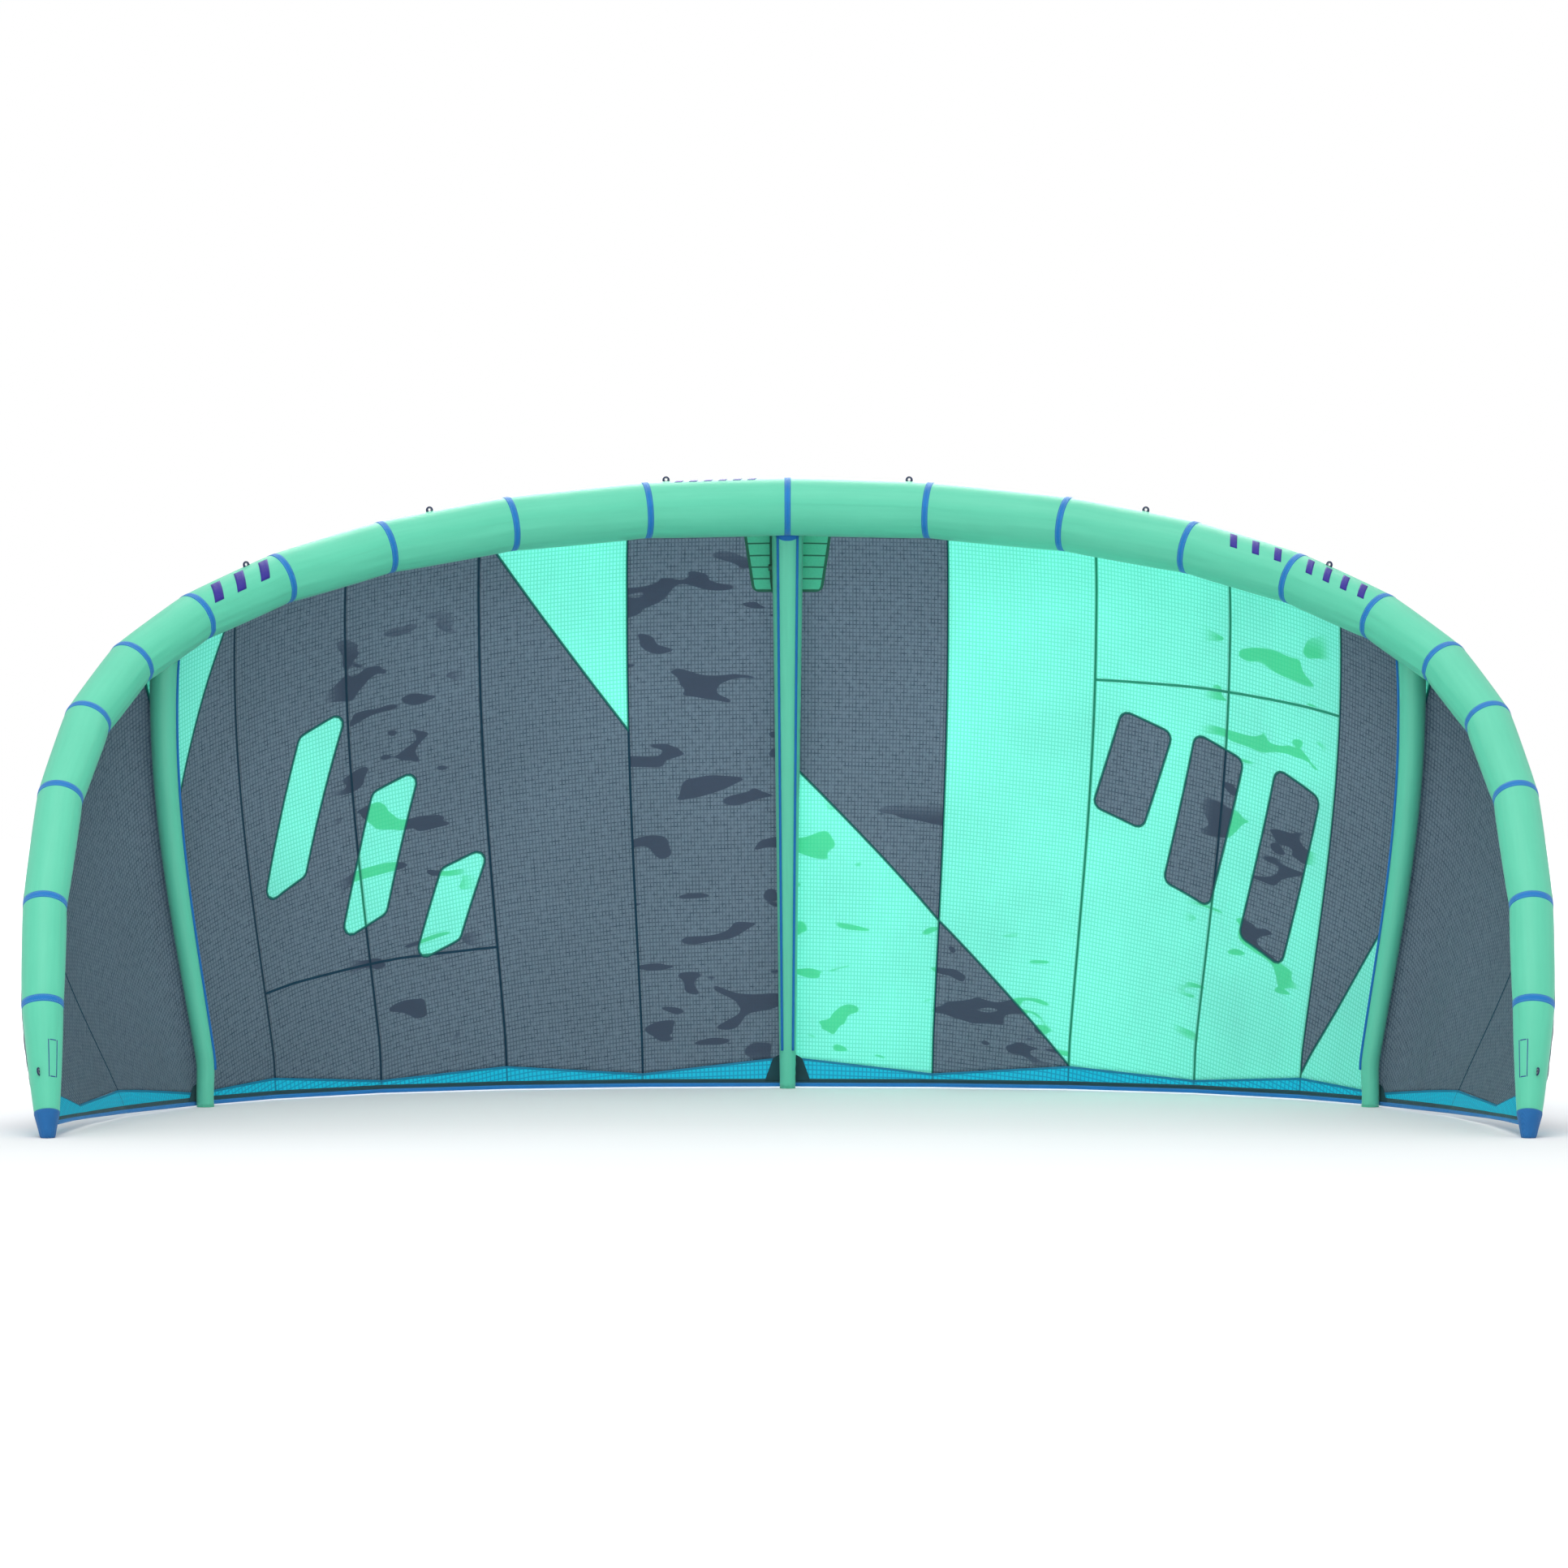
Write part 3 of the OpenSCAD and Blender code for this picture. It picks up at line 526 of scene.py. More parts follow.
def band_material():
    """Cyan reinforcement cloth of the trailing edge, with a coarse grid and a doubled front edge."""
    m = Shade("trailing_band", roughness=0.5, sheen=0.08)
    flat = m.attr("flat")["Vector"]
    threads = weave(m, flat, BAND_GRID, BAND_GRID, 0.0034)
    colour = m.mix(threads, srgb(8, 214, 240), srgb(4, 170, 208))
    border = m.step(m.value("rim"), 0.0075, 0.0060)
    colour = m.mix(border, colour, srgb(4, 138, 176))
    seam = m.near(m.value("seam"), 0.006)
    colour = m.mix(m.times(seam, 0.7), colour, srgb(4, 120, 158))
    height = m.add(m.times(threads, 0.6), m.times(border, 1.5))
    height = m.add(height, m.times(m.noise(flat, 30, 3), 1.6))
    return m.finish(colour, height, 0.0005, glow=0.25)


def dacron_material(name, colour_a, colour_b):
    """Tight woven polyester of the tubes: fine cross threads and a faint unevenness of the dye."""
    m = Shade(name, roughness=0.42, sheen=0.10, specular=0.45)
    flat = m.attr("flat")["Vector"]
    x, y, _ = m.split(flat)
    cross = m.add(m.lines(x, 0.0022, 0.0012), m.lines(y, 0.0022, 0.0012))
    streak = m.noise(m.vector("MULTIPLY", flat, (6, 90, 1)), 1.0, 3)
    dye = m.noise(flat, 5.5, 3)
    mixed = m.add(m.times(streak, 0.5), m.times(dye, 0.5))
    colour = m.mix(m.step(mixed, 0.3, 0.7), colour_a, colour_b)
    colour = m.mix(m.times(cross, 0.08), colour, srgb(40, 120, 96))
    height = m.add(m.times(cross, 0.2), m.times(m.noise(flat, 18, 4), 1.2))
    return m.finish(colour, height, 0.0004)


def tape_material(name, colour, thread, half_w):
    """Ribbed woven tape with a zigzag seam along each edge, and painted highlights in random lighter
    patches.
    """
    m = Shade(name, roughness=0.55, sheen=0.15)
    flat = m.attr("flat")["Vector"]
    x, y, _ = m.split(flat)
    ribs = m.lines(m.add(x, y), 0.0016, 0.0008)
    base = m.mix(m.times(ribs, 0.35), colour, tuple(c * 0.45 for c in colour[:3]) + (1,))
    # Painted highlights: patches at 1.5 times the tape's colour, scattered at random along the tape
    base = m.mix(m.times(m.step(m.noise(flat, 9, 3), 0.4, 0.8), 0.25), base,
                 tuple(min(1, c * 1.5 + 0.01) for c in colour[:3]) + (1,))
    sewn = m.most(m.stitches(x, y, half_w * 0.62), m.stitches(x, y, -half_w * 0.62))
    base = m.mix(sewn, base, thread)
    height = m.add(m.times(ribs, 0.4), m.times(sewn, 1.4))
    return m.finish(base, height, 0.0004)


def patch_material():
    """Coated patch with a darker sewn border and rungs of folded cloth."""
    m = Shade("ladder_patch", roughness=0.45, sheen=0.08)
    flat = m.attr("flat")["Vector"]
    line = m.most(m.step(m.value("rim"), 0.0085, 0.0075), m.near(m.value("rung"), 0.004))
    speck = m.step(m.noise(flat, 160, 2), 0.35, 0.7)
    base = m.mix(m.times(speck, 0.12), srgb(126, 255, 222), srgb(80, 210, 172))
    colour = m.mix(line, base, srgb(62, 156, 126))
    return m.finish(colour, m.add(line, m.times(speck, 0.2)), 0.0006, glow=0.6)


def plain_cloth(name, colour, other, roughness=0.6, scale=240, glow=0.0):
    """Heavy cloth with a two-way grain."""
    m = Shade(name, roughness=roughness, sheen=0.1)
    place = m.place()
    x, y, z = m.split(place)
    grain = m.most(m.lines(m.add(x, y), 0.0024, 0.0011), m.lines(z, 0.0024, 0.0011))
    cloud = m.step(m.noise(place, scale / 12, 3), 0.3, 0.75)
    base = m.mix(cloud, colour, other)
    base = m.mix(m.times(grain, 0.3), base, tuple(c * 0.5 for c in colour[:3]) + (1,))
    return m.finish(base, m.add(grain, cloud), 0.0003, glow=glow)


def moulded(name, colour, other, roughness=0.4, coat=0.1):
    """Moulded plastic or rubber with a fine spark texture and handling marks."""
    m = Shade(name, roughness=roughness, coat=coat)
    place = m.place()
    grain = m.noise(place, 1400, 2)
    marks = m.step(m.noise(place, 90, 4), 0.45, 0.75)
    rough = m.step(marks, -roughness / 0.25, (1 - roughness) / 0.25)
    return m.finish(m.mix(marks, colour, other), grain, 0.0002, roughness=rough)


def film_material():
    """Thin milky film of the bladders."""
    m = Shade("bladder_film", roughness=0.25, coat=0.3)
    place = m.place()
    folds = m.noise(m.vector("MULTIPLY", place, (20, 20, 6)), 1.0, 4, 0.6)
    colour = m.mix(m.step(folds, 0.3, 0.7), srgb(214, 216, 205), srgb(238, 240, 232))
    return m.finish(colour, folds, 0.002, glow=0.3)


RIPSTOP = ripstop_material()
BAND = band_material()
TUBE = dacron_material("tube_dacron", srgb(94, 210, 174), srgb(101, 217, 181))
STRUT = dacron_material("strut_dacron", srgb(92, 204, 172), srgb(99, 212, 179))
TAPE = tape_material("blue_tape", srgb(4, 126, 206), srgb(120, 190, 245), TAPE_W / 2)
HEM = tape_material("blue_hem", srgb(4, 126, 206), srgb(90, 180, 235), HEM_W / 2)
DARK_TAPE = tape_material("dark_tape", srgb(8, 64, 74), srgb(30, 110, 120), HEM_W / 2)
PATCH = patch_material()
GUSSET = plain_cloth("gusset_cloth", srgb(6, 62, 70), srgb(10, 76, 86))
BLUE_CLOTH = plain_cloth("cap_cloth", srgb(20, 104, 172), srgb(26, 114, 184))
PIPING = plain_cloth("piping_cloth", srgb(6, 110, 190), srgb(10, 118, 200))
END_CLOTH = plain_cloth("strut_end_cloth", srgb(104, 214, 172), srgb(116, 226, 186))
WEBBING = plain_cloth("webbing", srgb(30, 36, 84), srgb(38, 46, 98))
VALVE = moulded("valve_plastic", srgb(20, 100, 78), srgb(30, 118, 92))
DARK_PLASTIC = moulded("dark_plastic", srgb(28, 36, 40), srgb(44, 54, 58))
HOSE = moulded("hose_rubber", srgb(16, 84, 66), srgb(26, 100, 80), roughness=0.55, coat=0.0)
RING_METAL = moulded("eyelet_ring", srgb(120, 128, 134), srgb(150, 158, 162), roughness=0.3, coat=0.2)
FILM = film_material()


# ---- leading edge ----------------------------------------------------------------------
def edge_frames():
    """Two directions square to every panel, carried from panel to panel without twist."""
    front = np.array([0.0, -1, 0])
    h = HEADING[0]
    a = unit(front - h * (front @ h))
    out = [(a, np.cross(h, a))]
    for i in range(1, PANELS):
        turn = Vector(HEADING[i - 1]).rotation_difference(Vector(HEADING[i])).to_matrix()
        a = np.array(turn @ Vector(out[-1][0]))
        out.append((a, np.cross(HEADING[i], a)))
    return out


EDGE_FRAMES = edge_frames()
PUFF, PUFF_REACH = 0.0024, 0.05
PUCKER, PUCKER_REACH, PUCKERS = 0.0022, 0.04, 11


def edge_surface(i, d, phi, off=0.0):
    """Skin of panel i on the +X half, d from its inner seam. phi is 0 in front and 90 degrees below."""
    last = i == PANELS - 1
    h = HEADING[i]
    a, b = EDGE_FRAMES[i]
    length = PANEL_CUT[i] * ((1 - CAP_SHARE) if last else 1)
    d, phi, off = (np.asarray(x, float)[..., None] for x in np.broadcast_arrays(d, phi, off))
    e = a * np.cos(phi) + b * np.sin(phi)
    r0, r1 = edge_r(i), TIP_R if last else edge_r(i + 1)
    n0, n1 = RING_DIR[i], h if last else RING_DIR[i + 1]
    end = RING[i] + h * length
    p0 = RING[i] + r0 * e - h * (dot(r0 * e, n0) / (h @ n0))
    p1 = end + r1 * e - h * (dot(r1 * e, n1) / (h @ n1))
    s = d / length
    rest = length - d
    swell = PUFF * (1 - np.exp(-d / PUFF_REACH)) * (1 - np.exp(-np.maximum(rest, 0) / PUFF_REACH))
    fold = 0
    for ring, away in ((i, d), (i + 1, rest)):
        if 0 < ring < PANELS:
            inside = HEADING[ring] - HEADING[ring - 1]
            squeeze = np.maximum(0, dot(e, unit(inside))) ** 2 * np.linalg.norm(inside) / 0.25
            ripple = np.sin(PUCKERS * phi + 2.1 * ring) + 0.6 * np.sin((2 * PUCKERS - 3) * phi + ring)
            fold = fold + PUCKER * squeeze * ripple * away / PUCKER_REACH * np.exp(1 - away / PUCKER_REACH)
    return p0 * (1 - s) + p1 * s + e * (swell + fold * 0.5 + off)


def mirrored(points, side):
    return points * np.array([side, 1, 1])


AROUND = turns(96)


def edge_panel(name, i, side):
    length = PANEL_CUT[i] * ((1 - CAP_SHARE) if i == PANELS - 1 else 1)
    d = np.linspace(0, length, max(20, int(length / 0.011)))
    dd, phi = grid(d, AROUND)
    rings = mirrored(edge_surface(i, dd, phi), side)
    flat = np.stack([dd + i, phi * edge_r(i), 0 * dd], -1)
    obj = tube_piece("edge_panel_" + name[9:], rings, {"flat": flat}, wall=TUBE_CLOTH_T)
    return done(obj, TUBE, "tube_cloth", "root", name)


def seam_point(i, d, phi, off):
    """Skin near ring i; d is negative on the inner side of the seam."""
    outer = edge_surface(i, np.maximum(d, 0), phi, off)
    if i:
        inner = edge_surface(i - 1, PANEL_CUT[i - 1] + np.minimum(d, 0), phi, off)
    else:
        inner = mirrored(edge_surface(0, np.maximum(-d, 0), phi, off), -1)
    return np.where((d >= 0)[..., None], outer, inner)


TAPE_PROFILE = ((-1, 0.0), (-0.96, 0.7), (-0.5, 0.9), (0, 1.0), (0.5, 0.9), (0.96, 0.7), (1, 0.0),
                (0.9, -0.8), (-0.9, -0.8))


def seam_tape(i, side):
    across = np.array([p[0] for p in TAPE_PROFILE]) * TAPE_W / 2
    off = np.array([p[1] for p in TAPE_PROFILE]) * 0.0011
    d, phi = grid(across, AROUND)
    o = np.broadcast_to(off[:, None], d.shape)
    points = mirrored(seam_point(i, d, phi, o), side)
    m, n = d.shape
    flat = np.stack([d, phi * edge_r(i), 0 * d], -1).reshape(-1, 3)
    return new_piece(f"tape_{i}_{side}", points.reshape(-1, 3), grid_faces(m, n, wrap_u=True, wrap_v=True),
                     {"flat": flat})


def joined(name, parts):
    """One piece made of several."""
    first = parts[0]
    with bpy.context.temp_override(active_object=first, selected_editable_objects=parts,
                                   selected_objects=parts):
        if len(parts) > 1:
            bpy.ops.object.join()
    first.name = name
    first.data.name = name
    return first


def edge_tapes():
    parts = [seam_tape(0, 1)] + [seam_tape(i, s) for i in range(1, PANELS) for _, s in SIDES]
    return done(joined("edge_seam_tapes", parts), TAPE, "blue_tape", "root", "le_seam_tapes")


def tip_cap(key, side):
    """Cloth cup over the tip, gathered at its end and standing on the ground."""
    h = HEADING[-1]
    a, b = EDGE_FRAMES[-1]
    start = on_edge(np.array([CAP_U]))[0]
    reach = PANEL_CUT[-1] * CAP_SHARE
    steps = np.array([-0.09, 0, 0.04, 0.12, 0.3, 0.5, 0.7, 0.85, 1.0, 1.12, 1.3, 1.55])
    radius = np.interp(steps, [0, 1, 1.6], [TIP_R, TIP_END_R, 0.010]) + 0.0009
    s, phi = grid(steps, AROUND)
    e = a * np.cos(phi)[..., None] + b * np.sin(phi)[..., None]
    pleat = 0.0007 * np.sin(14 * phi) * smooth(s, 0.5, 1.1)
    points = start + h * (s * reach)[..., None] + e * (radius[:, None] + pleat)[..., None]
    drop = np.maximum(0, -points[..., 2:] / -h[2])
    points = points - h * drop
    points[..., 2] = np.maximum(points[..., 2], 0)
    obj = tube_piece("tip_cup_" + key, mirrored(points, side))
    return done(obj, BLUE_CLOTH, "blue_tape", "root", "tip_cap_" + key)


def ink_mark(i, side, d0, phi0, wide, tall, slant):
    """Thin printed parallelogram on the tube; its long way runs round the tube."""
    g, k = grid(np.linspace(-0.5, 0.5, 5), np.linspace(-0.5, 0.5, 9))
    d = d0 + g * wide + k * slant
    phi = phi0 + k * tall / edge_r(i)
    top = mirrored(edge_surface(i, d, phi, 0.0007), side)
    under = mirrored(edge_surface(i, d, phi, 0.0001), side)
    return sheet_piece("ink", top, under)


INK = plain_cloth("print_ink", srgb(44, 30, 150), srgb(52, 38, 164), roughness=0.5)


def ink_marks():
    """Plain bars printed on the front of the leading edge, and a blank framed field at each tip."""
    rows = (  # panel, side, distances of the bars, height round the tube, width, length, slant
        (3, 1, (0.150, 0.225, 0.300), -48, 0.024, 0.056, 0.030),
        (4, 1, (0.060, 0.125, 0.190, 0.255), -48, 0.024, 0.056, 0.030),
        (4, -1, (0.070, 0.160, 0.245), -42, 0.034, 0.070, 0.040),
        (0, -1, (0.110, 0.155, 0.200, 0.245, 0.290, 0.335), -74, 0.024, 0.020, 0.008),
        *((10, s, (0.115, 0.215), -18, 0.0022, 0.020, 0.0) for _, s in SIDES),
        *((10, s, (0.165,), phi, 0.102, 0.0022, 0.0) for phi in (-3, -33) for _, s in SIDES))
    parts = [ink_mark(i, side, d, math.radians(phi), wide, tall, slant)
             for i, side, places, phi, wide, tall, slant in rows for d in places]
    return done(joined("print_marks", parts), INK, "blue_tape", "root")


# ---- canopy ----------------------------------------------------------------------------
CLOTH_T = 0.0009
CELL = 0.013
BALLOON = 0.006
WRAP = 0.012  # each of the two rows of cloth sewn on to the tube


def polygon_depth(q, corners):
    """How far points of the flat cloth lie inside a polygon, negative outside."""
    best = np.full(q.shape[:-1], 1e9)
    inside = np.zeros(q.shape[:-1], bool)
    for a, b in zip(corners, np.roll(corners, -1, axis=0)):
        e, w = b - a, q - a
        t = np.clip(np.sum(w * e, -1) / (e @ e), 0, 1)
        best = np.minimum(best, np.linalg.norm(w - t[..., None] * e, axis=-1))
        crosses = (a[1] > q[..., 1]) != (b[1] > q[..., 1])
        rise_y = b[1] - a[1] if abs(b[1] - a[1]) > 1e-9 else 1e-9
        inside ^= crosses & (q[..., 0] < a[0] + (q[..., 1] - a[1]) * (b[0] - a[0]) / rise_y)
    return np.where(inside, best, -best)


def inset(corners, r):
    """A convex polygon with its sides moved inwards by r."""
    centre = corners.mean(axis=0)
    lines = []
    for a, b in zip(corners, np.roll(corners, -1, axis=0)):
        e = unit(b - a)
        n = np.array([-e[1], e[0]])
        n = n if n @ (centre - a) > 0 else -n
        lines.append((a + n * r, e))
    out = []
    for (p, e), (q, f) in zip(lines[-1:] + lines[:-1], lines):
        t = np.linalg.solve(np.array([e, -f]).T, q - p)[0]
        out.append(p + e * t)
    return np.array(out)


def place(u, v):
    return flat_xy(np.array(float(u)), np.array(float(v)))


def beside(q, a, b):
    """Distance from the line through canopy places a and b, positive on its right as +y runs rearwards."""
    a, b = place(*a), place(*b)
    e = unit(b - a)
    return (q[..., 0] - a[0]) * e[1] - (q[..., 1] - a[1]) * e[0]


BAR_W, BAR_ROUND = 0.165, 0.028
# Middle of each bar's two ends, as (u, v)
BARS_L = (((-4.00, 0.603), (-3.48, 0.301)), ((-3.28, 0.693), (-2.87, 0.431)),
          ((-2.67, 0.749), (-2.36, 0.583)))
BARS_R = (((3.77, 0.725), (3.96, 0.394)), ((3.02, 0.636), (3.20, 0.357)),
          ((2.40, 0.512), (2.59, 0.333)))


def bars_depth(q, bars):
    """Depth inside the nearest bar of a plain striped graphic."""
    best = np.full(q.shape[:-1], -1.0)
    for low, high in bars:
        a, b = place(*low), place(*high)
        half = np.array([BAR_W / 2, 0.0])
        tilt = np.array([0, -0.02 if low[0] < 0 else 0.02])
        corners = np.array([a - half - tilt, a + half + tilt, b + half + tilt, b - half - tilt])
        best = np.maximum(best, polygon_depth(q, inset(corners, BAR_ROUND)) + BAR_ROUND)
    return best


SLASH = ((0.109, 0.463), (1.09, 0.712), (2.17, 0.958))  # long colour seam on the +X half
TIP_MINT = ((5.30, 0.0), (5.62, 0.0), (5.34, 0.20), (5.30, 0.20))  # small corner beyond each side strut


def zone_of(side, k, q):
    """Signed distance inside the mint cloth of panel k."""
    if side < 0:
        if k == 2:
            return beside(q, (-2.032, 0.051), (-1.077, 0.385))
        if k in (3, 4):
            return bars_depth(q, BARS_L)
        if k == 5:
            return -beside(q, (-4.491, 0.072), (-5.003, 0.330))
    else:
        if k == 1:
            return -beside(q, SLASH[0], SLASH[1])
        if k == 2:
            return beside(q, SLASH[1], SLASH[2])
        if k in (3, 4):
            return -bars_depth(q, BARS_R)
        if k == 5:
            return beside(q, (5.116, 0.628), (4.354, 0.954))
    if k == 6:
        return polygon_depth(q, np.array([place(side * u, v) for u, v in TIP_MINT]))
    return np.full(q.shape[:-1], -1.0)


CROSS_SEAMS = {-1: ((-4.36, 0.793), (-2.17, 0.748)), 1: ((2.17, 0.270), (4.36, 0.243))}
CROSSED = (3, 4)  # panels with a seam across them


def seam_of(side, k, q):
    """Distance to the nearest long seam of panel k; its grid has a column on every one of them."""
    out = np.full(q.shape[:-1], 1.0)
    for seam in SEAM_U[k - 1:k + 1]:
        if seam:
            out = np.minimum(out, np.abs(q[..., 0] - flat_x(side * seam)))
    return out


def cross_of(side, k, q):
    """Signed distance from the seam across panel k."""
    if k in CROSSED:
        return beside(q, *CROSS_SEAMS[side])
    return np.full(q.shape[:-1], 1.0)


ALL_U = (-2, -1, 20, 21)
LEFT_PRINT = ((2.25, 2.5, 3.3, 3.5), (0.10, 0.20, 0.88, 0.92))
RIGHT_PRINT = ((3.0, 3.2, 4.1, 4.25), (0.08, 0.14, 0.88, 0.92))
# By side and panel: where the print comes in and goes out, along u and along v
PRINTED = {(-1, 1): (ALL_U, (0.04, 0.10, 0.94, 0.97)), (-1, 3): LEFT_PRINT, (-1, 4): LEFT_PRINT,
           (1, 1): (ALL_U, (0.50, 0.54, 0.94, 0.97)), (1, 2): (ALL_U, (0.72, 0.75, 0.94, 0.97)),
           (1, 3): RIGHT_PRINT, (1, 4): RIGHT_PRINT}


def print_of(side, k, u, v):
    """Where the loose wavy print lies, from 0 to 1."""
    if (side, k) not in PRINTED:
        return 0 * v
    (u0, u1, u2, u3), (v0, v1, v2, v3) = PRINTED[side, k]
    a = np.abs(u)
    along = smooth(a, u0, u1) * (1 - smooth(a, u2, u3))
    return along * smooth(v, v0, v1) * (1 - smooth(v, v2, v3))


# Height and wavelength of the wrinkles beside the struts, behind the leading edge and at the rear
STRUT_FOLDS, EDGE_FOLDS, REAR_FOLDS = (0.0014, 0.047), (0.0013, 0.055), (0.0016, 0.13)


def swell_of(k, u, v):
    """How far the cloth stands out between its seams, with wrinkles near the places where it is pulled."""
    a = np.abs(u)
    edges = SEAM_U[k - 1:k + 1] if k < 6 else np.array([STRUT_U, 7, SEAM_U[6], 9.6, TIP_U])
    j = np.clip(np.searchsorted(edges, a, side="right") - 1, 0, len(edges) - 2)
    w = np.clip((a - edges[j]) / (edges[j + 1] - edges[j]), 0, 1)
    inner = smooth(v, 0.0, 0.16) * (1 - smooth(v, 0.86, 1.0))
    out = BALLOON * (1 - (2 * w - 1) ** 2) * inner
    q = flat_xy(u, v)
    x, y = q[..., 0], q[..., 1]
    near_strut = np.exp(-np.abs(np.abs(x) - flat_x(STRUT_U)) / 0.035) + 0.7 * np.exp(-np.abs(x) / 0.05)
    near_edge = np.exp(-y / 0.05)
    wave = 2 * math.pi
    rear = (1 - v) * chord_len(a)
    high, long = STRUT_FOLDS
    out = out + high * near_strut * np.sin(wave * y / long + 1.4 * np.sin(5 * y)) * inner
    high, long = EDGE_FOLDS
    out = out + high * near_edge * np.sin(wave * x / long) * smooth(v, 0.005, 0.02)
    pull = np.exp(-rear / 0.22) * smooth(rear, 0.0, 0.08)
    high, long = REAR_FOLDS
    return out + high * pull * np.sin(wave * x / long + 2 * np.sin(3.1 * x + 4 * y))


def seam_columns(k):
    """u of a panel's grid columns, with one on every seam of the band."""
    stops = SEAM_U[k - 1:k + 1] if k < 6 else SEAM_U[5:]
    out = []
    for a, b in zip(stops[:-1], stops[1:]):
        out.extend(np.linspace(a, b, max(3, int((flat_x(b) - flat_x(a)) / CELL)))[:-1])
    return np.array(out + [stops[-1]])


def canopy_panel(key, side, k):
    a = seam_columns(k)
    rows = 128 if k < 6 else 104
    share = np.linspace(0, 1, rows)
    aa, f = grid(a, share)
    v = band_v(aa) * f
    u = aa * side
    p, _, n = cloth_frame(u, v)
    mid = p + n * swell_of(k, u, v)[..., None]
    front = -unit(chord(a))
    out = outward(a)
    ahead = unit(front - out * dot(front, out))
    for step in (1, 2):
        turn = (step * WRAP / edge_r(a))[:, None]
        radial = mirrored(out * np.cos(turn) + ahead * np.sin(turn), side)
        skin = mirrored(on_edge(a), side) + radial * (edge_r(a) + TUBE_GAP * 0.7)[:, None]
        mid = np.concatenate([skin[:, None], mid], 1)
        n = np.concatenate([radial[:, None], n], 1)
        v = np.concatenate([(-step * WRAP / chord_len(a))[:, None], v], 1)
    u = np.broadcast_to((a * side)[:, None], v.shape)
    q = flat_xy(u, v)
    values = {"flat": level(q), "zone": zone_of(side, k, q), "seam": seam_of(side, k, q),
              "cross": cross_of(side, k, q), "print": print_of(side, k, u, v)}
    half = n * CLOTH_T / 2
    obj = sheet_piece(f"canopy_cloth_{key}{k}", mid + half, mid - half, values)
    slot = "mint_ripstop" if side > 0 and k < 5 else "dark_ripstop"
    done(obj, RIPSTOP, slot, "root", f"canopy_{key}{k}")
    width = float(flat_x(a[-1]) - flat_x(a[0]))
    longest = float(np.max(band_v(a) * chord_len(a))) + 2 * WRAP
    area = float(np.trapz(band_v(a) * chord_len(a) + 2 * WRAP, flat_x(a)))
    return obj


def whole_columns():
    return np.concatenate([seam_columns(k)[:-1] for k in range(1, 7)] + [[TIP_U]])


def seam_gap(u):
    """Distance to the nearest panel seam."""
    x = np.abs(flat_x(u))
    return np.min([np.abs(x - flat_x(seam)) for seam in SEAM_U[1:7]], axis=0)


def trailing_band(key, side):
    a = whole_columns()
    aa, f = grid(a, np.linspace(0, 1, 9))
    top, low = band_v(aa), from_edge_v(aa, HEM_W * 0.8)
    v = top + (low - top) * f
    u = aa * side
    rim = (v - top) * chord_len(aa)
    obj = cloth_piece("trailing_band_" + key, u, v, 0 * v, CLOTH_T * 1.6,
                      {"flat": level(flat_xy(u, v)), "rim": rim, "seam": seam_gap(u)})
    done(obj, BAND, "cyan_ripstop", "root", "te_band_" + key)
    length, tall = ARC_L[-1], (low - top) * chord_len(aa)
    area = float(np.trapz(tall[:, 0], flat_x(a)))
    round(float(np.max(tall)), 3)
    return obj


# Thickness across each strip in mm, from its front to its rear
TAPE_T = (2.2, 2.6, 2.6, 2.6, 2.2)
HEM_T = (2.4, 3.2, 3.6, 3.6, 3.4, 2.8, 1.4)


def edge_strip(name, node, front, back, profile, material, slot):
    """Folded strip along the whole trailing edge, from the distance front to the distance back."""
    a = whole_columns()
    a = np.concatenate([-a[:0:-1], a])
    f = np.linspace(0, 1, len(profile))
    u, share = grid(a, f)
    d = front + (back - front) * share
    v = from_edge_v(u, d)
    thick = np.broadcast_to(np.asarray(profile) * MM, u.shape)
    p, _, n = cloth_frame(u, v)
    half = n * (thick / 2)[..., None]
    across = (share - 0.5) * (front - back)
    flat = np.stack([across, flat_xy(u, v)[..., 0], 0 * u], -1)
    obj = sheet_piece(name, p + half, p - half, {"flat": flat})
    done(obj, material, slot, "root", node)
    return obj


def patch_sheet(name, side, inner, outer, v0, v1, values, off=-0.0016, rows=24, columns=10):
    """Patch on the hollow side from u = inner to the line of u that outer gives along its length."""
    f, g = grid(np.linspace(0, 1, rows), np.linspace(0, 1, columns))
    u = inner + (outer(f) - inner) * g
    v = v0 + (v1 - v0) * f
    swell = swell_of(6 if np.max(u) > STRUT_U else 1, u, v)
    return cloth_piece(name, u * side, v, off + swell, CLOTH_T, values(u, v, f))


RUNGS = (0.059, 0.080, 0.100, 0.120)
LADDER_V = (0.015, 0.143)
LADDER_LONG = float((LADDER_V[1] - LADDER_V[0]) * chord_len(np.array(0.2)))
LADDER_ROUND = 0.020


def ladder_patch(side):
    """Reinforcement beside the head of the centre strut, with rungs and one round corner."""
    def outer(f):
        left = (1 - f) * LADDER_LONG
        cut = LADDER_ROUND - np.sqrt(LADDER_ROUND ** 2 - np.maximum(0, LADDER_ROUND - left) ** 2)
        return 0.315 + (0.235 - 0.315) * f - cut / PANEL_CUT[0]

    def values(u, v, f):
        reach = (outer(f) - u) * PANEL_CUT[0]
        end = (LADDER_V[1] - v) * chord_len(u)
        rung = np.min([np.abs(v - r) for r in RUNGS], axis=0) * chord_len(u)
        return {"flat": level(flat_xy(u, v)), "rim": np.minimum(reach, end), "rung": rung}

    return patch_sheet(f"ladder_{side}", side, 0.06, outer, *LADDER_V, values, rows=90, columns=40)


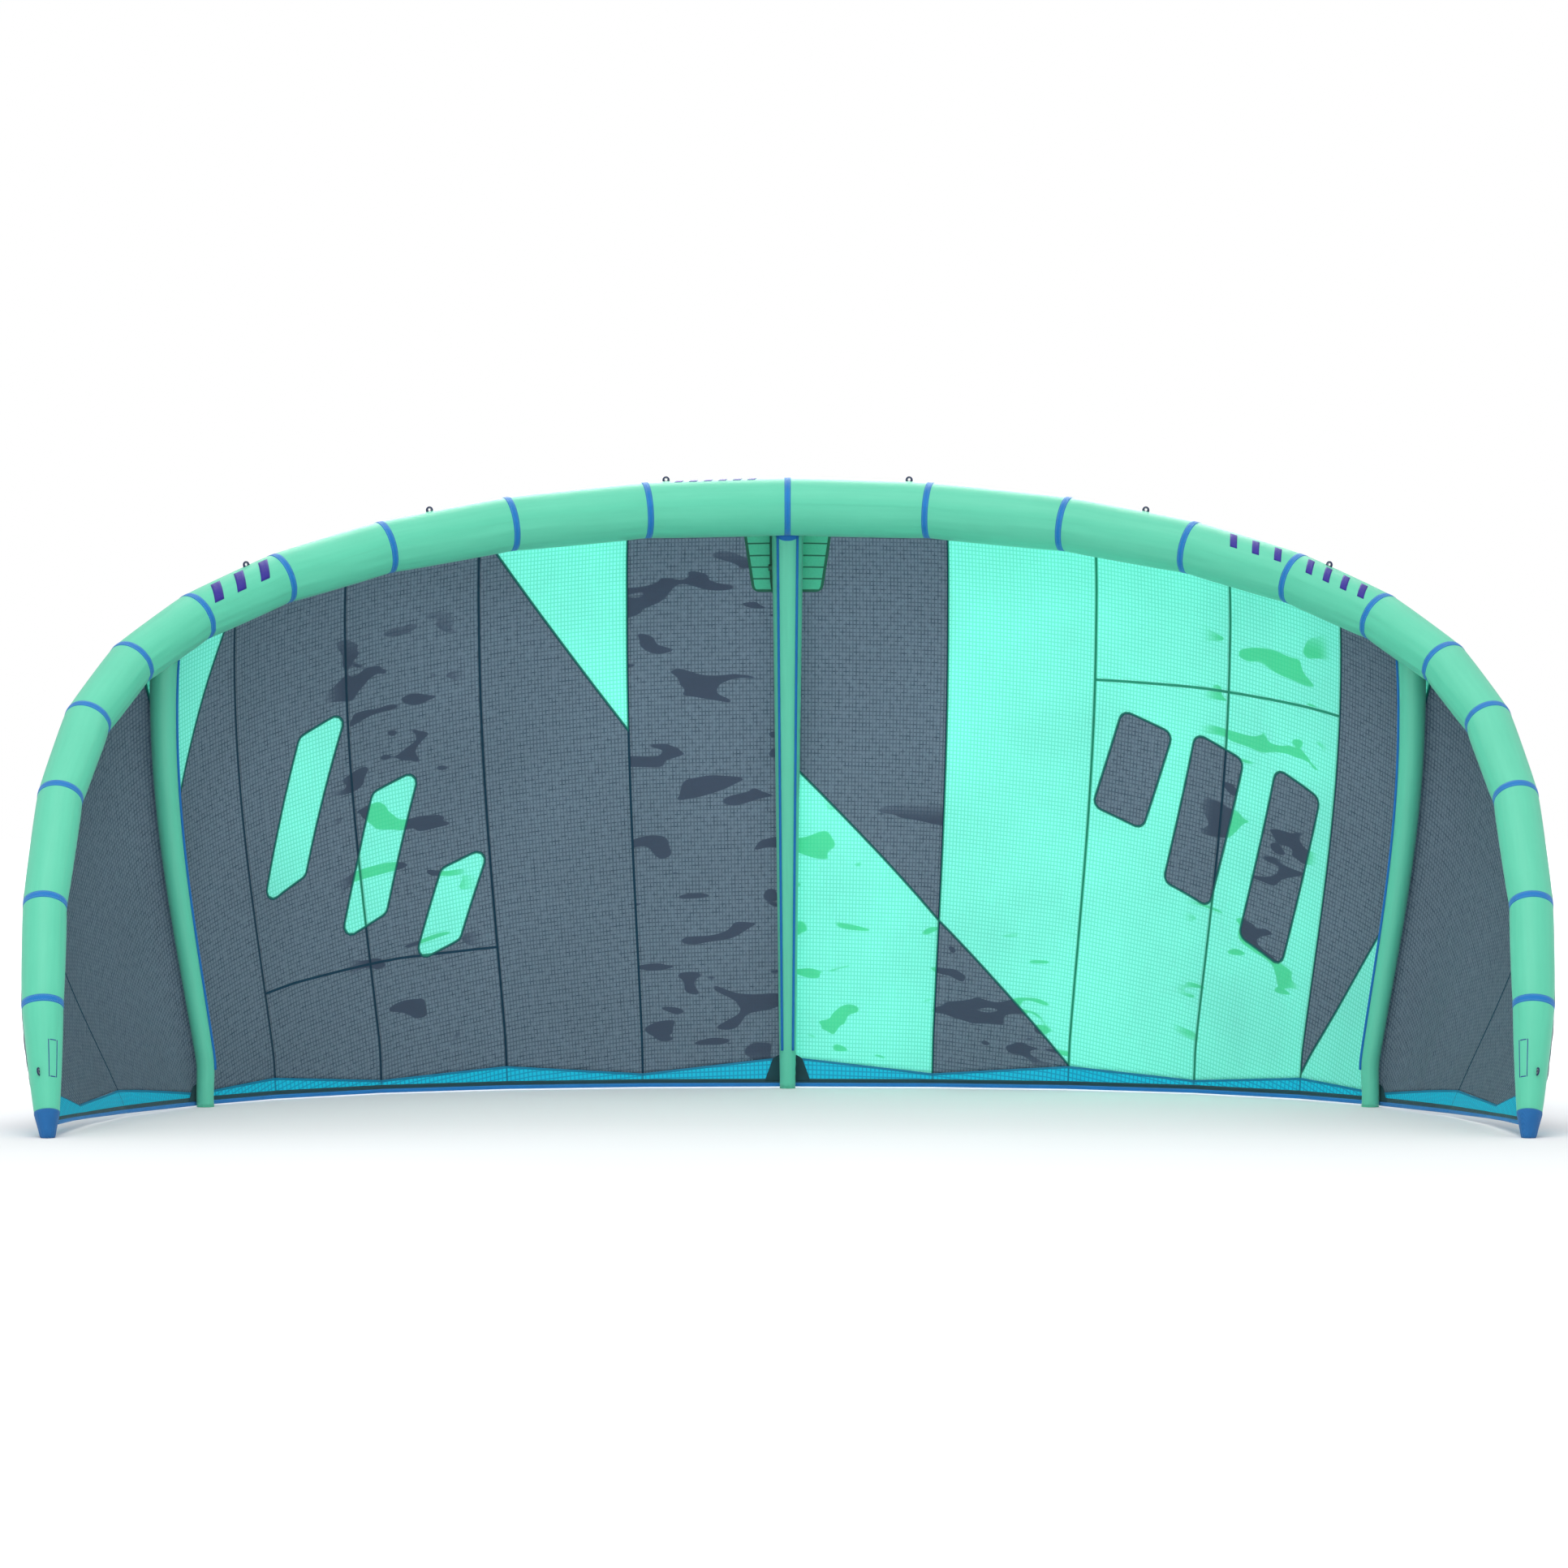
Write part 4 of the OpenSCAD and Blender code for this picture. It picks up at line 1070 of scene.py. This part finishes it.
def gusset(side, inner, top, low, v0, v1):
    """Dark gusset beside a strut's end, round at its top."""
    def outer(f):
        head = np.minimum(1, np.sqrt(f / 0.16))
        return np.maximum(inner + 0.01, inner + (top - inner) * head + (low - top) * f)

    return patch_sheet(f"gusset_{side}_{inner}", side, inner, outer, v0, v1, lambda u, v, f: {}, off=-0.0021)


def patches():
    ladders = joined("ladder_patches", [ladder_patch(s) for _, s in SIDES])
    done(ladders, PATCH, "patch_cloth", "root", "canopy_patches")
    parts = []
    for _, s in SIDES:
        parts.append(gusset(s, 0.045, 0.100, 0.172, 0.945, 0.990))
        parts.append(gusset(s, STRUT_U + 0.05, STRUT_U + 0.10, STRUT_U + 0.42, 0.955, 0.990))
    done(joined("strut_gussets", parts), GUSSET, "dark_tape", "root")


# ---- struts ----------------------------------------------------------------------------
END_CAP_T = 0.002
STRUT_ROWS = 120
BLADDER_INSET = 0.003
CLEAR = 0.0006  # from the strut's head to the leading edge


def along_path(where, places, points):
    """Points of a path at the places where; places are those of its own points."""
    return np.stack([np.interp(where, places, points[:, c]) for c in range(3)], -1)


def shrunk(ring, share, shift):
    middle = ring.mean(axis=0)
    return middle + (ring - middle) * share + shift


class Strut:
    """Surface lines of a strut. phi is 0 straight away from the cloth."""

    def __init__(self, key, u, root, end, side):
        self.key, self.u, self.side = key, u, side
        v = np.linspace(0.012, 1, 260)
        p, down, n = cloth_frame(np.full_like(v, u), v)
        extra = np.linspace(0.004, 0.08, 20)[:, None]
        self.n = np.vstack([n, np.repeat(n[-1:], 20, 0)])
        self.down = np.vstack([down, np.repeat(down[-1:], 20, 0)])
        self.r = np.concatenate([root + (end - root) * v, np.full(20, end)])
        spine = np.vstack([p, p[-1] + down[-1] * extra])
        self.centre = spine - self.n * (self.r + 0.0012)[:, None]
        self.across = np.cross(self.down, self.n)
        self.s = run(self.centre)

    def rows(self, phi, off=0.0):
        """Points down the strut at phi, before they are cut at its ends."""
        ring = -self.n * math.cos(phi) + self.across * math.sin(phi) * self.side
        ripple = 0.0005 * np.sin(2 * math.pi * self.s / 0.031 + 3 * math.sin(3 * phi))
        edge = math.exp(-((abs(abs(phi) - math.pi / 2) / 0.5) ** 2))
        return self.centre + ring * (self.r + off + ripple * edge)[:, None]

    def clear_of_edge(self, p):
        """How far points stand off from the leading edge."""
        i = int(abs(self.u))
        best = np.full(len(p), 1e9)
        for sign in (-1, 1) if self.u == 0 else (self.side,):
            a, h = mirrored(RING[i], sign), mirrored(HEADING[i], sign)
            w = p - a
            t = np.sum(w * h, 1)
            keep = t if self.u else np.maximum(t, 0)
            gap = np.linalg.norm(w - keep[:, None] * h, axis=1) - edge_r(abs(self.u))
            best = np.minimum(best, gap)
        return best

    def line(self, phi, off=0.0):
        """Points down the strut at phi, from the leading edge to the ground, and their distances."""
        p = self.rows(phi, off)
        gap = self.clear_of_edge(p)
        inside = np.nonzero(gap < CLEAR)[0]
        k = inside[-1] if len(inside) else 0
        t = k + (CLEAR - gap[k]) / (gap[k + 1] - gap[k]) if gap[k + 1] > gap[k] else float(k)
        low = np.nonzero(p[:, 2] < END_CAP_T)[0]
        j = low[0] if len(low) else len(p) - 1
        e = j - 1 + (p[j - 1, 2] - END_CAP_T) / (p[j - 1, 2] - p[j, 2])
        steps = np.concatenate([[t], np.arange(math.floor(t) + 1, math.ceil(e)), [e]])
        index = np.arange(len(p))
        cut = along_path(steps, index, p)
        return cut, run(cut)

    def at(self, phi, where, off=0.0):
        """Points at distances from the leading edge; negative ones count from the lower end."""
        cut, dist = self.line(phi, off)
        where = np.asarray(where, float)
        where = np.where(where < 0, dist[-1] + where, where)
        return along_path(where, dist, cut)

    def sleeve(self):
        columns, flats = [], []
        for phi in turns(64):
            cut, dist = self.line(phi)
            t = np.linspace(0, dist[-1], STRUT_ROWS)
            columns.append(along_path(t, dist, cut))
            flats.append(np.stack([t, np.full_like(t, phi * 0.04), 0 * t], -1))
        self.rings = np.stack(columns, 1)
        obj = tube_piece("strut_" + self.key, self.rings, {"flat": np.stack(flats, 1)}, wall=TUBE_CLOTH_T)
        return done(obj, STRUT, "tube_cloth", "root", "strut_sleeve_" + self.key)

    def bladder(self):
        """Inner tube, a little thinner than the sleeve and rounded off at both ends."""
        skin = np.stack([self.rings[k] for k in range(6, STRUT_ROWS - 4, 3)])
        middle = skin.mean(axis=1, keepdims=True)
        rings = skin - unit(skin - middle) * BLADDER_INSET
        first, last = rings[0] - rings[1], rings[-1] - rings[-2]
        start = [shrunk(rings[0], a, first * b) for a, b in ((0.1, 1), (0.5, 0.8), (0.85, 0.4))]
        stop = [shrunk(rings[-1], a, last * b) for a, b in ((0.85, 0.15), (0.5, 0.3), (0.1, 0.35))]
        return tube_piece("bladder_" + self.key, np.array(start + list(rings) + stop))

    def end(self):
        """Sewn flat end, a little pillowed, under the open end of the sleeve."""
        layers = []
        for share, z in ((0.05, 0.0), (0.5, 0.0), (0.9, 0.0), (0.985, 0.0002), (1.012, 0.0010),
                         (1.0, 0.0021), (0.9, 0.0024), (0.5, 0.0026), (0.05, 0.0026)):
            layer = shrunk(self.rings[-1], share, 0)
            layer[:, 2] = z
            layers.append(layer)
        return tube_piece("end_" + self.key, np.array(layers))

    def piping(self, phi, start, stop):
        path = self.at(phi, np.linspace(start, self.line(phi)[1][-1] - stop, 150), PIPING_R * 0.55)
        return tube_piece("pipe", rings_along(path, PIPING_R, 12, (0.3, 1, 0.2)))


def head_tape(strut):
    """Lens-shaped tape over the joint of the centre strut and the leading edge."""
    angles = np.radians(np.linspace(-47, 47, 33))
    wide = 0.017 * np.cos(angles * math.pi / 2 / math.radians(50)) ** 0.7
    top, under = (np.array([strut.at(t, np.linspace(0, w, 6) + 0.0008, off) for t, w in zip(angles, wide)])
                  for off in (0.0014, 0.0004))
    return sheet_piece("head_tape", top, under)


def struts():
    centre = Strut("centre", 0.0, MID_ROOT_R, MID_END_R, 1)
    right = Strut("r", STRUT_U, SIDE_ROOT_R, SIDE_END_R, 1)
    left = Strut("l", -STRUT_U, SIDE_ROOT_R, SIDE_END_R, -1)
    every = (centre, right, left)
    for strut in every:
        strut.sleeve()
    tubes = joined("strut_inner_tubes", [s.bladder() for s in every])
    done(tubes, FILM, "bladder_film", "root", "strut_bladders")
    ends = joined("strut_ends", [s.end() for s in every])
    done(ends, END_CLOTH, "tube_cloth", "root", "strut_end_caps")
    pipes = [centre.piping(math.radians(a), 0.004, 0.115) for a in (37, -37)]
    pipes += [s.piping(math.radians(-32), 0.010, 0.105) for s in (right, left)]
    cords = joined("strut_piping_cords", pipes + [head_tape(centre)])
    done(cords, PIPING, "blue_tape", "root", "strut_piping")


# ---- fittings --------------------------------------------------------------------------
def cad_frame(u, v):
    """Point, rearward direction and outward normal of the CAD canopy on the +X half."""
    u, v = np.array(float(u)), np.array(float(v))
    e = 0.01
    down = unit(half_cloth(u, np.minimum(1, v + e)) - half_cloth(u, np.maximum(0, v - e)))
    n = outward(u)
    return half_cloth(u, v), down, unit(n - down * (n @ down))


HOSE_R, HOSE_LIFT, LEVER_REACH = 0.005, 0.0106, 0.012
GROOVE = 0.0035  # from the middle of the cloth to the strut
RIDGE_GAP, RIDGE_DROP = 0.002, 0.009  # more of both at the middle, where the cloth folds


def hose_path(u, root, end):
    """The CAD hose's line, from the leading edge into the strut at u."""
    groove = GROOVE + (0 if u else RIDGE_GAP)
    drop = 0 if u else RIDGE_DROP
    low = HOSE_LIFT + drop
    _, down, n = cad_frame(u, 0.09)
    across = -unit(np.cross(down, n))
    side = math.sqrt((root + 0.0017) ** 2 - (root + groove - low - LEVER_REACH) ** 2) + 0.0046

    def lifted(v):
        p, _, up = cad_frame(u, v)
        return p - up * low + across * side

    at = np.array(float(u))
    start = on_edge(at) + unit(1.35 * unit(chord(at)) + outward(at)) * (edge_r(u) - 0.003)
    start = start - outward(at) * drop + across * side
    p, _, up = cad_frame(u, 0.17)
    inner = p - up * (root + (end - root) * 0.17 + groove)
    b = lifted(0.14)
    return np.array([start, lifted(0.06), b, b + (inner - b) * 0.45])


def rounded_path(path, passes=4):
    """Cuts the corners of a path but keeps its ends and the middles of its straights."""
    for _ in range(passes):
        a, b = path[:-1], path[1:]
        cuts = np.stack([a * 0.75 + b * 0.25, a * 0.25 + b * 0.75], 1)
        path = np.vstack([path[:1], cuts.reshape(-1, 3), path[-1:]])
    return path


def hoses():
    parts = []
    middle, outer = (0, MID_ROOT_R, MID_END_R), (STRUT_U, SIDE_ROOT_R, SIDE_END_R)
    for strut, side in ((middle, 1), (outer, 1), (outer, -1)):
        path = rounded_path(mirrored(hose_path(*strut), side))
        parts.append(tube_piece("hose", rings_along(path, HOSE_R, 20, (1, 0.2, 0)), wall=0.0014))
    return done(joined("pump_hose_set", parts), HOSE, "hose_rubber", "root", "pump_hoses")


TAB_HALF, TAB_T, TAB_TOP, EYE_Z, EYE_R = 0.011, 0.003, 0.006, 0.007, 0.004
RING_R, BEAD_W, BEAD_T = 0.0054, 0.0011, 0.0006
BRIDLE_US, BACK_U = (0.85, 2.6, 4.3), 10.55


def tab_reach(angle):
    """Distance from the eyelet's middle to the tab's outline."""
    x, z = math.cos(angle), math.sin(angle)
    r = np.linspace(0.004, 0.03, 1400)
    px, pz = r * x, EYE_Z + r * z
    block = (np.abs(px) <= TAB_HALF) & (pz <= TAB_TOP) & (pz >= -0.001)
    inside = block | (px ** 2 + (pz - TAB_TOP) ** 2 <= TAB_HALF ** 2)
    return r[np.nonzero(inside)[0][-1]]


def tab_frames():
    for u in BRIDLE_US + (BACK_U,):
        at = np.array(float(u))
        h = HEADING[int(u)]
        c = -unit(chord(at))
        ahead = unit(c - h * (c @ h))
        yield on_edge(at) + ahead * edge_r(u), h, np.cross(ahead, h), ahead


def ring_grid(loops, place_of, side):
    """Closed ring from loops of (x, y, z) at a foot point and along three directions."""
    foot, x, y, z = place_of
    pts = foot + loops[..., 0:1] * x + loops[..., 1:2] * y + loops[..., 2:3] * z
    m, n = pts.shape[:2]
    return new_piece("ring", mirrored(pts, side).reshape(-1, 3), grid_faces(m, n, wrap_u=True, wrap_v=True))


def line_tabs():
    """Webbing tabs for the bridle and the back lines, each with a pressed eyelet."""
    angles = turns(72)
    reach = np.array([tab_reach(a) for a in angles])
    x, z = np.cos(angles), np.sin(angles)
    tabs, eyes = [], []
    half = TAB_T / 2
    bore = np.full_like(reach, EYE_R)
    edge = ((bore, 0.8), (bore + 0.0004, 1), (reach - 0.0006, 1), (reach, 0.6))
    section = [(r, y * half) for r, y in edge] + [(r, -y * half) for r, y in edge[::-1]]
    bead = [(RING_R + BEAD_W * math.cos(t), BEAD_T * math.sin(t))
            for t in turns(10)]

    def loops(profile, shift=0.0):
        return np.array([np.stack([r * x, 0 * x + shift + y, EYE_Z + r * z], -1) for r, y in profile])

    for f in tab_frames():
        for _, side in SIDES:
            tabs.append(ring_grid(loops(section), f, side))
            eyes += [ring_grid(loops(bead, face * half), f, side) for face in (-1, 1)]
    count = len(BRIDLE_US) * 2
    done(joined("bridle_webbing", tabs[:count]), WEBBING, "webbing", "root", "bridle_tabs")
    done(joined("back_line_webbing", tabs[count:]), WEBBING, "webbing", "root", "back_line_tabs")
    done(joined("eyelet_rings", eyes), RING_METAL, "valve_plastic", "root")


def keep_node(node, material, width=0.0004):
    """A CAD node that stays, with soft edges and its own material."""
    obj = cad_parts[node]
    obj.data.materials.clear()
    obj.data.materials.append(material)
    if width:
        weld = obj.modifiers.new("weld", "WELD")
        weld.merge_threshold = 0.00002
        bevel = obj.modifiers.new("soft_edges", "BEVEL")
        bevel.width = width
        bevel.segments = 2
        bevel.limit_method = "ANGLE"
        bevel.angle_limit = math.radians(35)


# ---- the stage -------------------------------------------------------------------------
CAMERA_AWAY = 13.3375
CAMERA_AT = (-0.011, CROWN[1] - CAMERA_AWAY, 0.935)
LENS = 99.4
FLOOR_HALF = 60
HORIZON_LIGHT, ZENITH_LIGHT = 0.28, 1.0
# Name, place, width and power of each area light
LIGHTS = (("key", (-1.5, -5, 9), 7, 330), ("low", (0, -8, 0.4), 3, 70), ("back", (0, 5.5, 4.5), 5, 420))


def add_camera():
    """Level camera in front of the hollow side."""
    camera = bpy.data.objects.new("camera", bpy.data.cameras.new("camera"))
    camera.data.lens = LENS
    camera.data.sensor_width = 36
    camera.data.clip_end = 200
    camera.location = CAMERA_AT
    camera.rotation_euler = (math.radians(90), 0, 0)
    bpy.context.scene.collection.objects.link(camera)
    bpy.context.scene.camera = camera


def add_floor():
    """Pale ground that glows a little far away, so that its horizon doesn't show."""
    corners = [(x * FLOOR_HALF, y * FLOOR_HALF, 0) for x, y in ((-1, -1), (1, -1), (1, 1), (-1, 1))]
    floor = new_piece("floor", corners, [(0, 1, 2, 3)], shade=False)
    floor.location.z = -0.0004
    pale = Shade("floor_paint", roughness=0.9, specular=0.1)
    cloud = pale.noise(pale.place(), 0.6, 2)
    far = pale.tree.nodes.new("ShaderNodeVectorMath")
    far.operation = "LENGTH"
    pale.plug(far.inputs[0], pale.place())
    pale.bsdf.inputs["Emission Color"].default_value = (1, 1, 1, 1)
    glow = pale.times(pale.step(far.outputs["Value"], 3, 12), 0.6)
    pale.plug(pale.bsdf.inputs["Emission Strength"], glow)
    pale.finish(pale.mix(cloud, srgb(236, 238, 240), srgb(244, 245, 247)))
    floor.data.materials.append(pale.material)


def add_sky():
    """White to the camera, and brighter overhead than at the horizon as a light."""
    world = bpy.data.worlds.new("studio")
    world.use_nodes = True
    nodes, links = world.node_tree.nodes, world.node_tree.links
    seen = nodes.new("ShaderNodeLightPath").outputs["Is Camera Ray"]
    split = nodes.new("ShaderNodeSeparateXYZ")
    links.new(nodes.new("ShaderNodeTexCoord").outputs["Generated"], split.inputs[0])
    height = nodes.new("ShaderNodeMapRange")
    for socket, number in zip(height.inputs[1:5], (-0.1, 1.0, HORIZON_LIGHT, ZENITH_LIGHT)):
        socket.default_value = number
    links.new(split.outputs[2], height.inputs["Value"])
    strength = nodes.new("ShaderNodeMath")
    strength.operation = "MAXIMUM"
    links.new(seen, strength.inputs[0])
    links.new(height.outputs[0], strength.inputs[1])
    links.new(strength.outputs[0], nodes["Background"].inputs["Strength"])
    nodes["Background"].inputs["Color"].default_value = (1, 1, 1, 1)
    bpy.context.scene.world = world


def add_lights():
    for name, at, size, power in LIGHTS:
        light = bpy.data.objects.new(name, bpy.data.lights.new(name, "AREA"))
        light.data.size = size
        light.data.energy = power
        light.location = at
        aim = Vector((0, 0, 0.9)) - Vector(at)
        light.rotation_euler = aim.to_track_quat("-Z", "Y").to_euler()
        bpy.context.scene.collection.objects.link(light)


# ---- building --------------------------------------------------------------------------
bpy.context.scene.view_settings.view_transform = "Standard"
add_camera()
add_floor()
add_sky()
add_lights()
for key, side in SIDES:
    for i in range(PANELS):
        edge_panel(f"le_panel_{key}{i + 1:02d}", i, side)
    tip_cap(key, side)
    for k in range(1, 7):
        canopy_panel(key, side, k)
    trailing_band(key, side)
edge_tapes()
ink_marks()
edge_strip("trailing_tape", "te_tape", 2 * HEM_W, HEM_W * 0.9, TAPE_T, DARK_TAPE, "dark_tape")
edge_strip("trailing_hem", "te_hem", HEM_W, 0.0, HEM_T, HEM, "blue_tape")
patches()
struts()
hoses()
line_tabs()
keep_node("le_bladder", FILM, 0)
for node in ("valve_cap", "clip_bases"):
    keep_node(node, DARK_PLASTIC)
for node in ("valve_base", "valve_bayonet", "clip_lever_centre", "clip_lever_r", "clip_lever_l"):
    keep_node(node, VALVE)
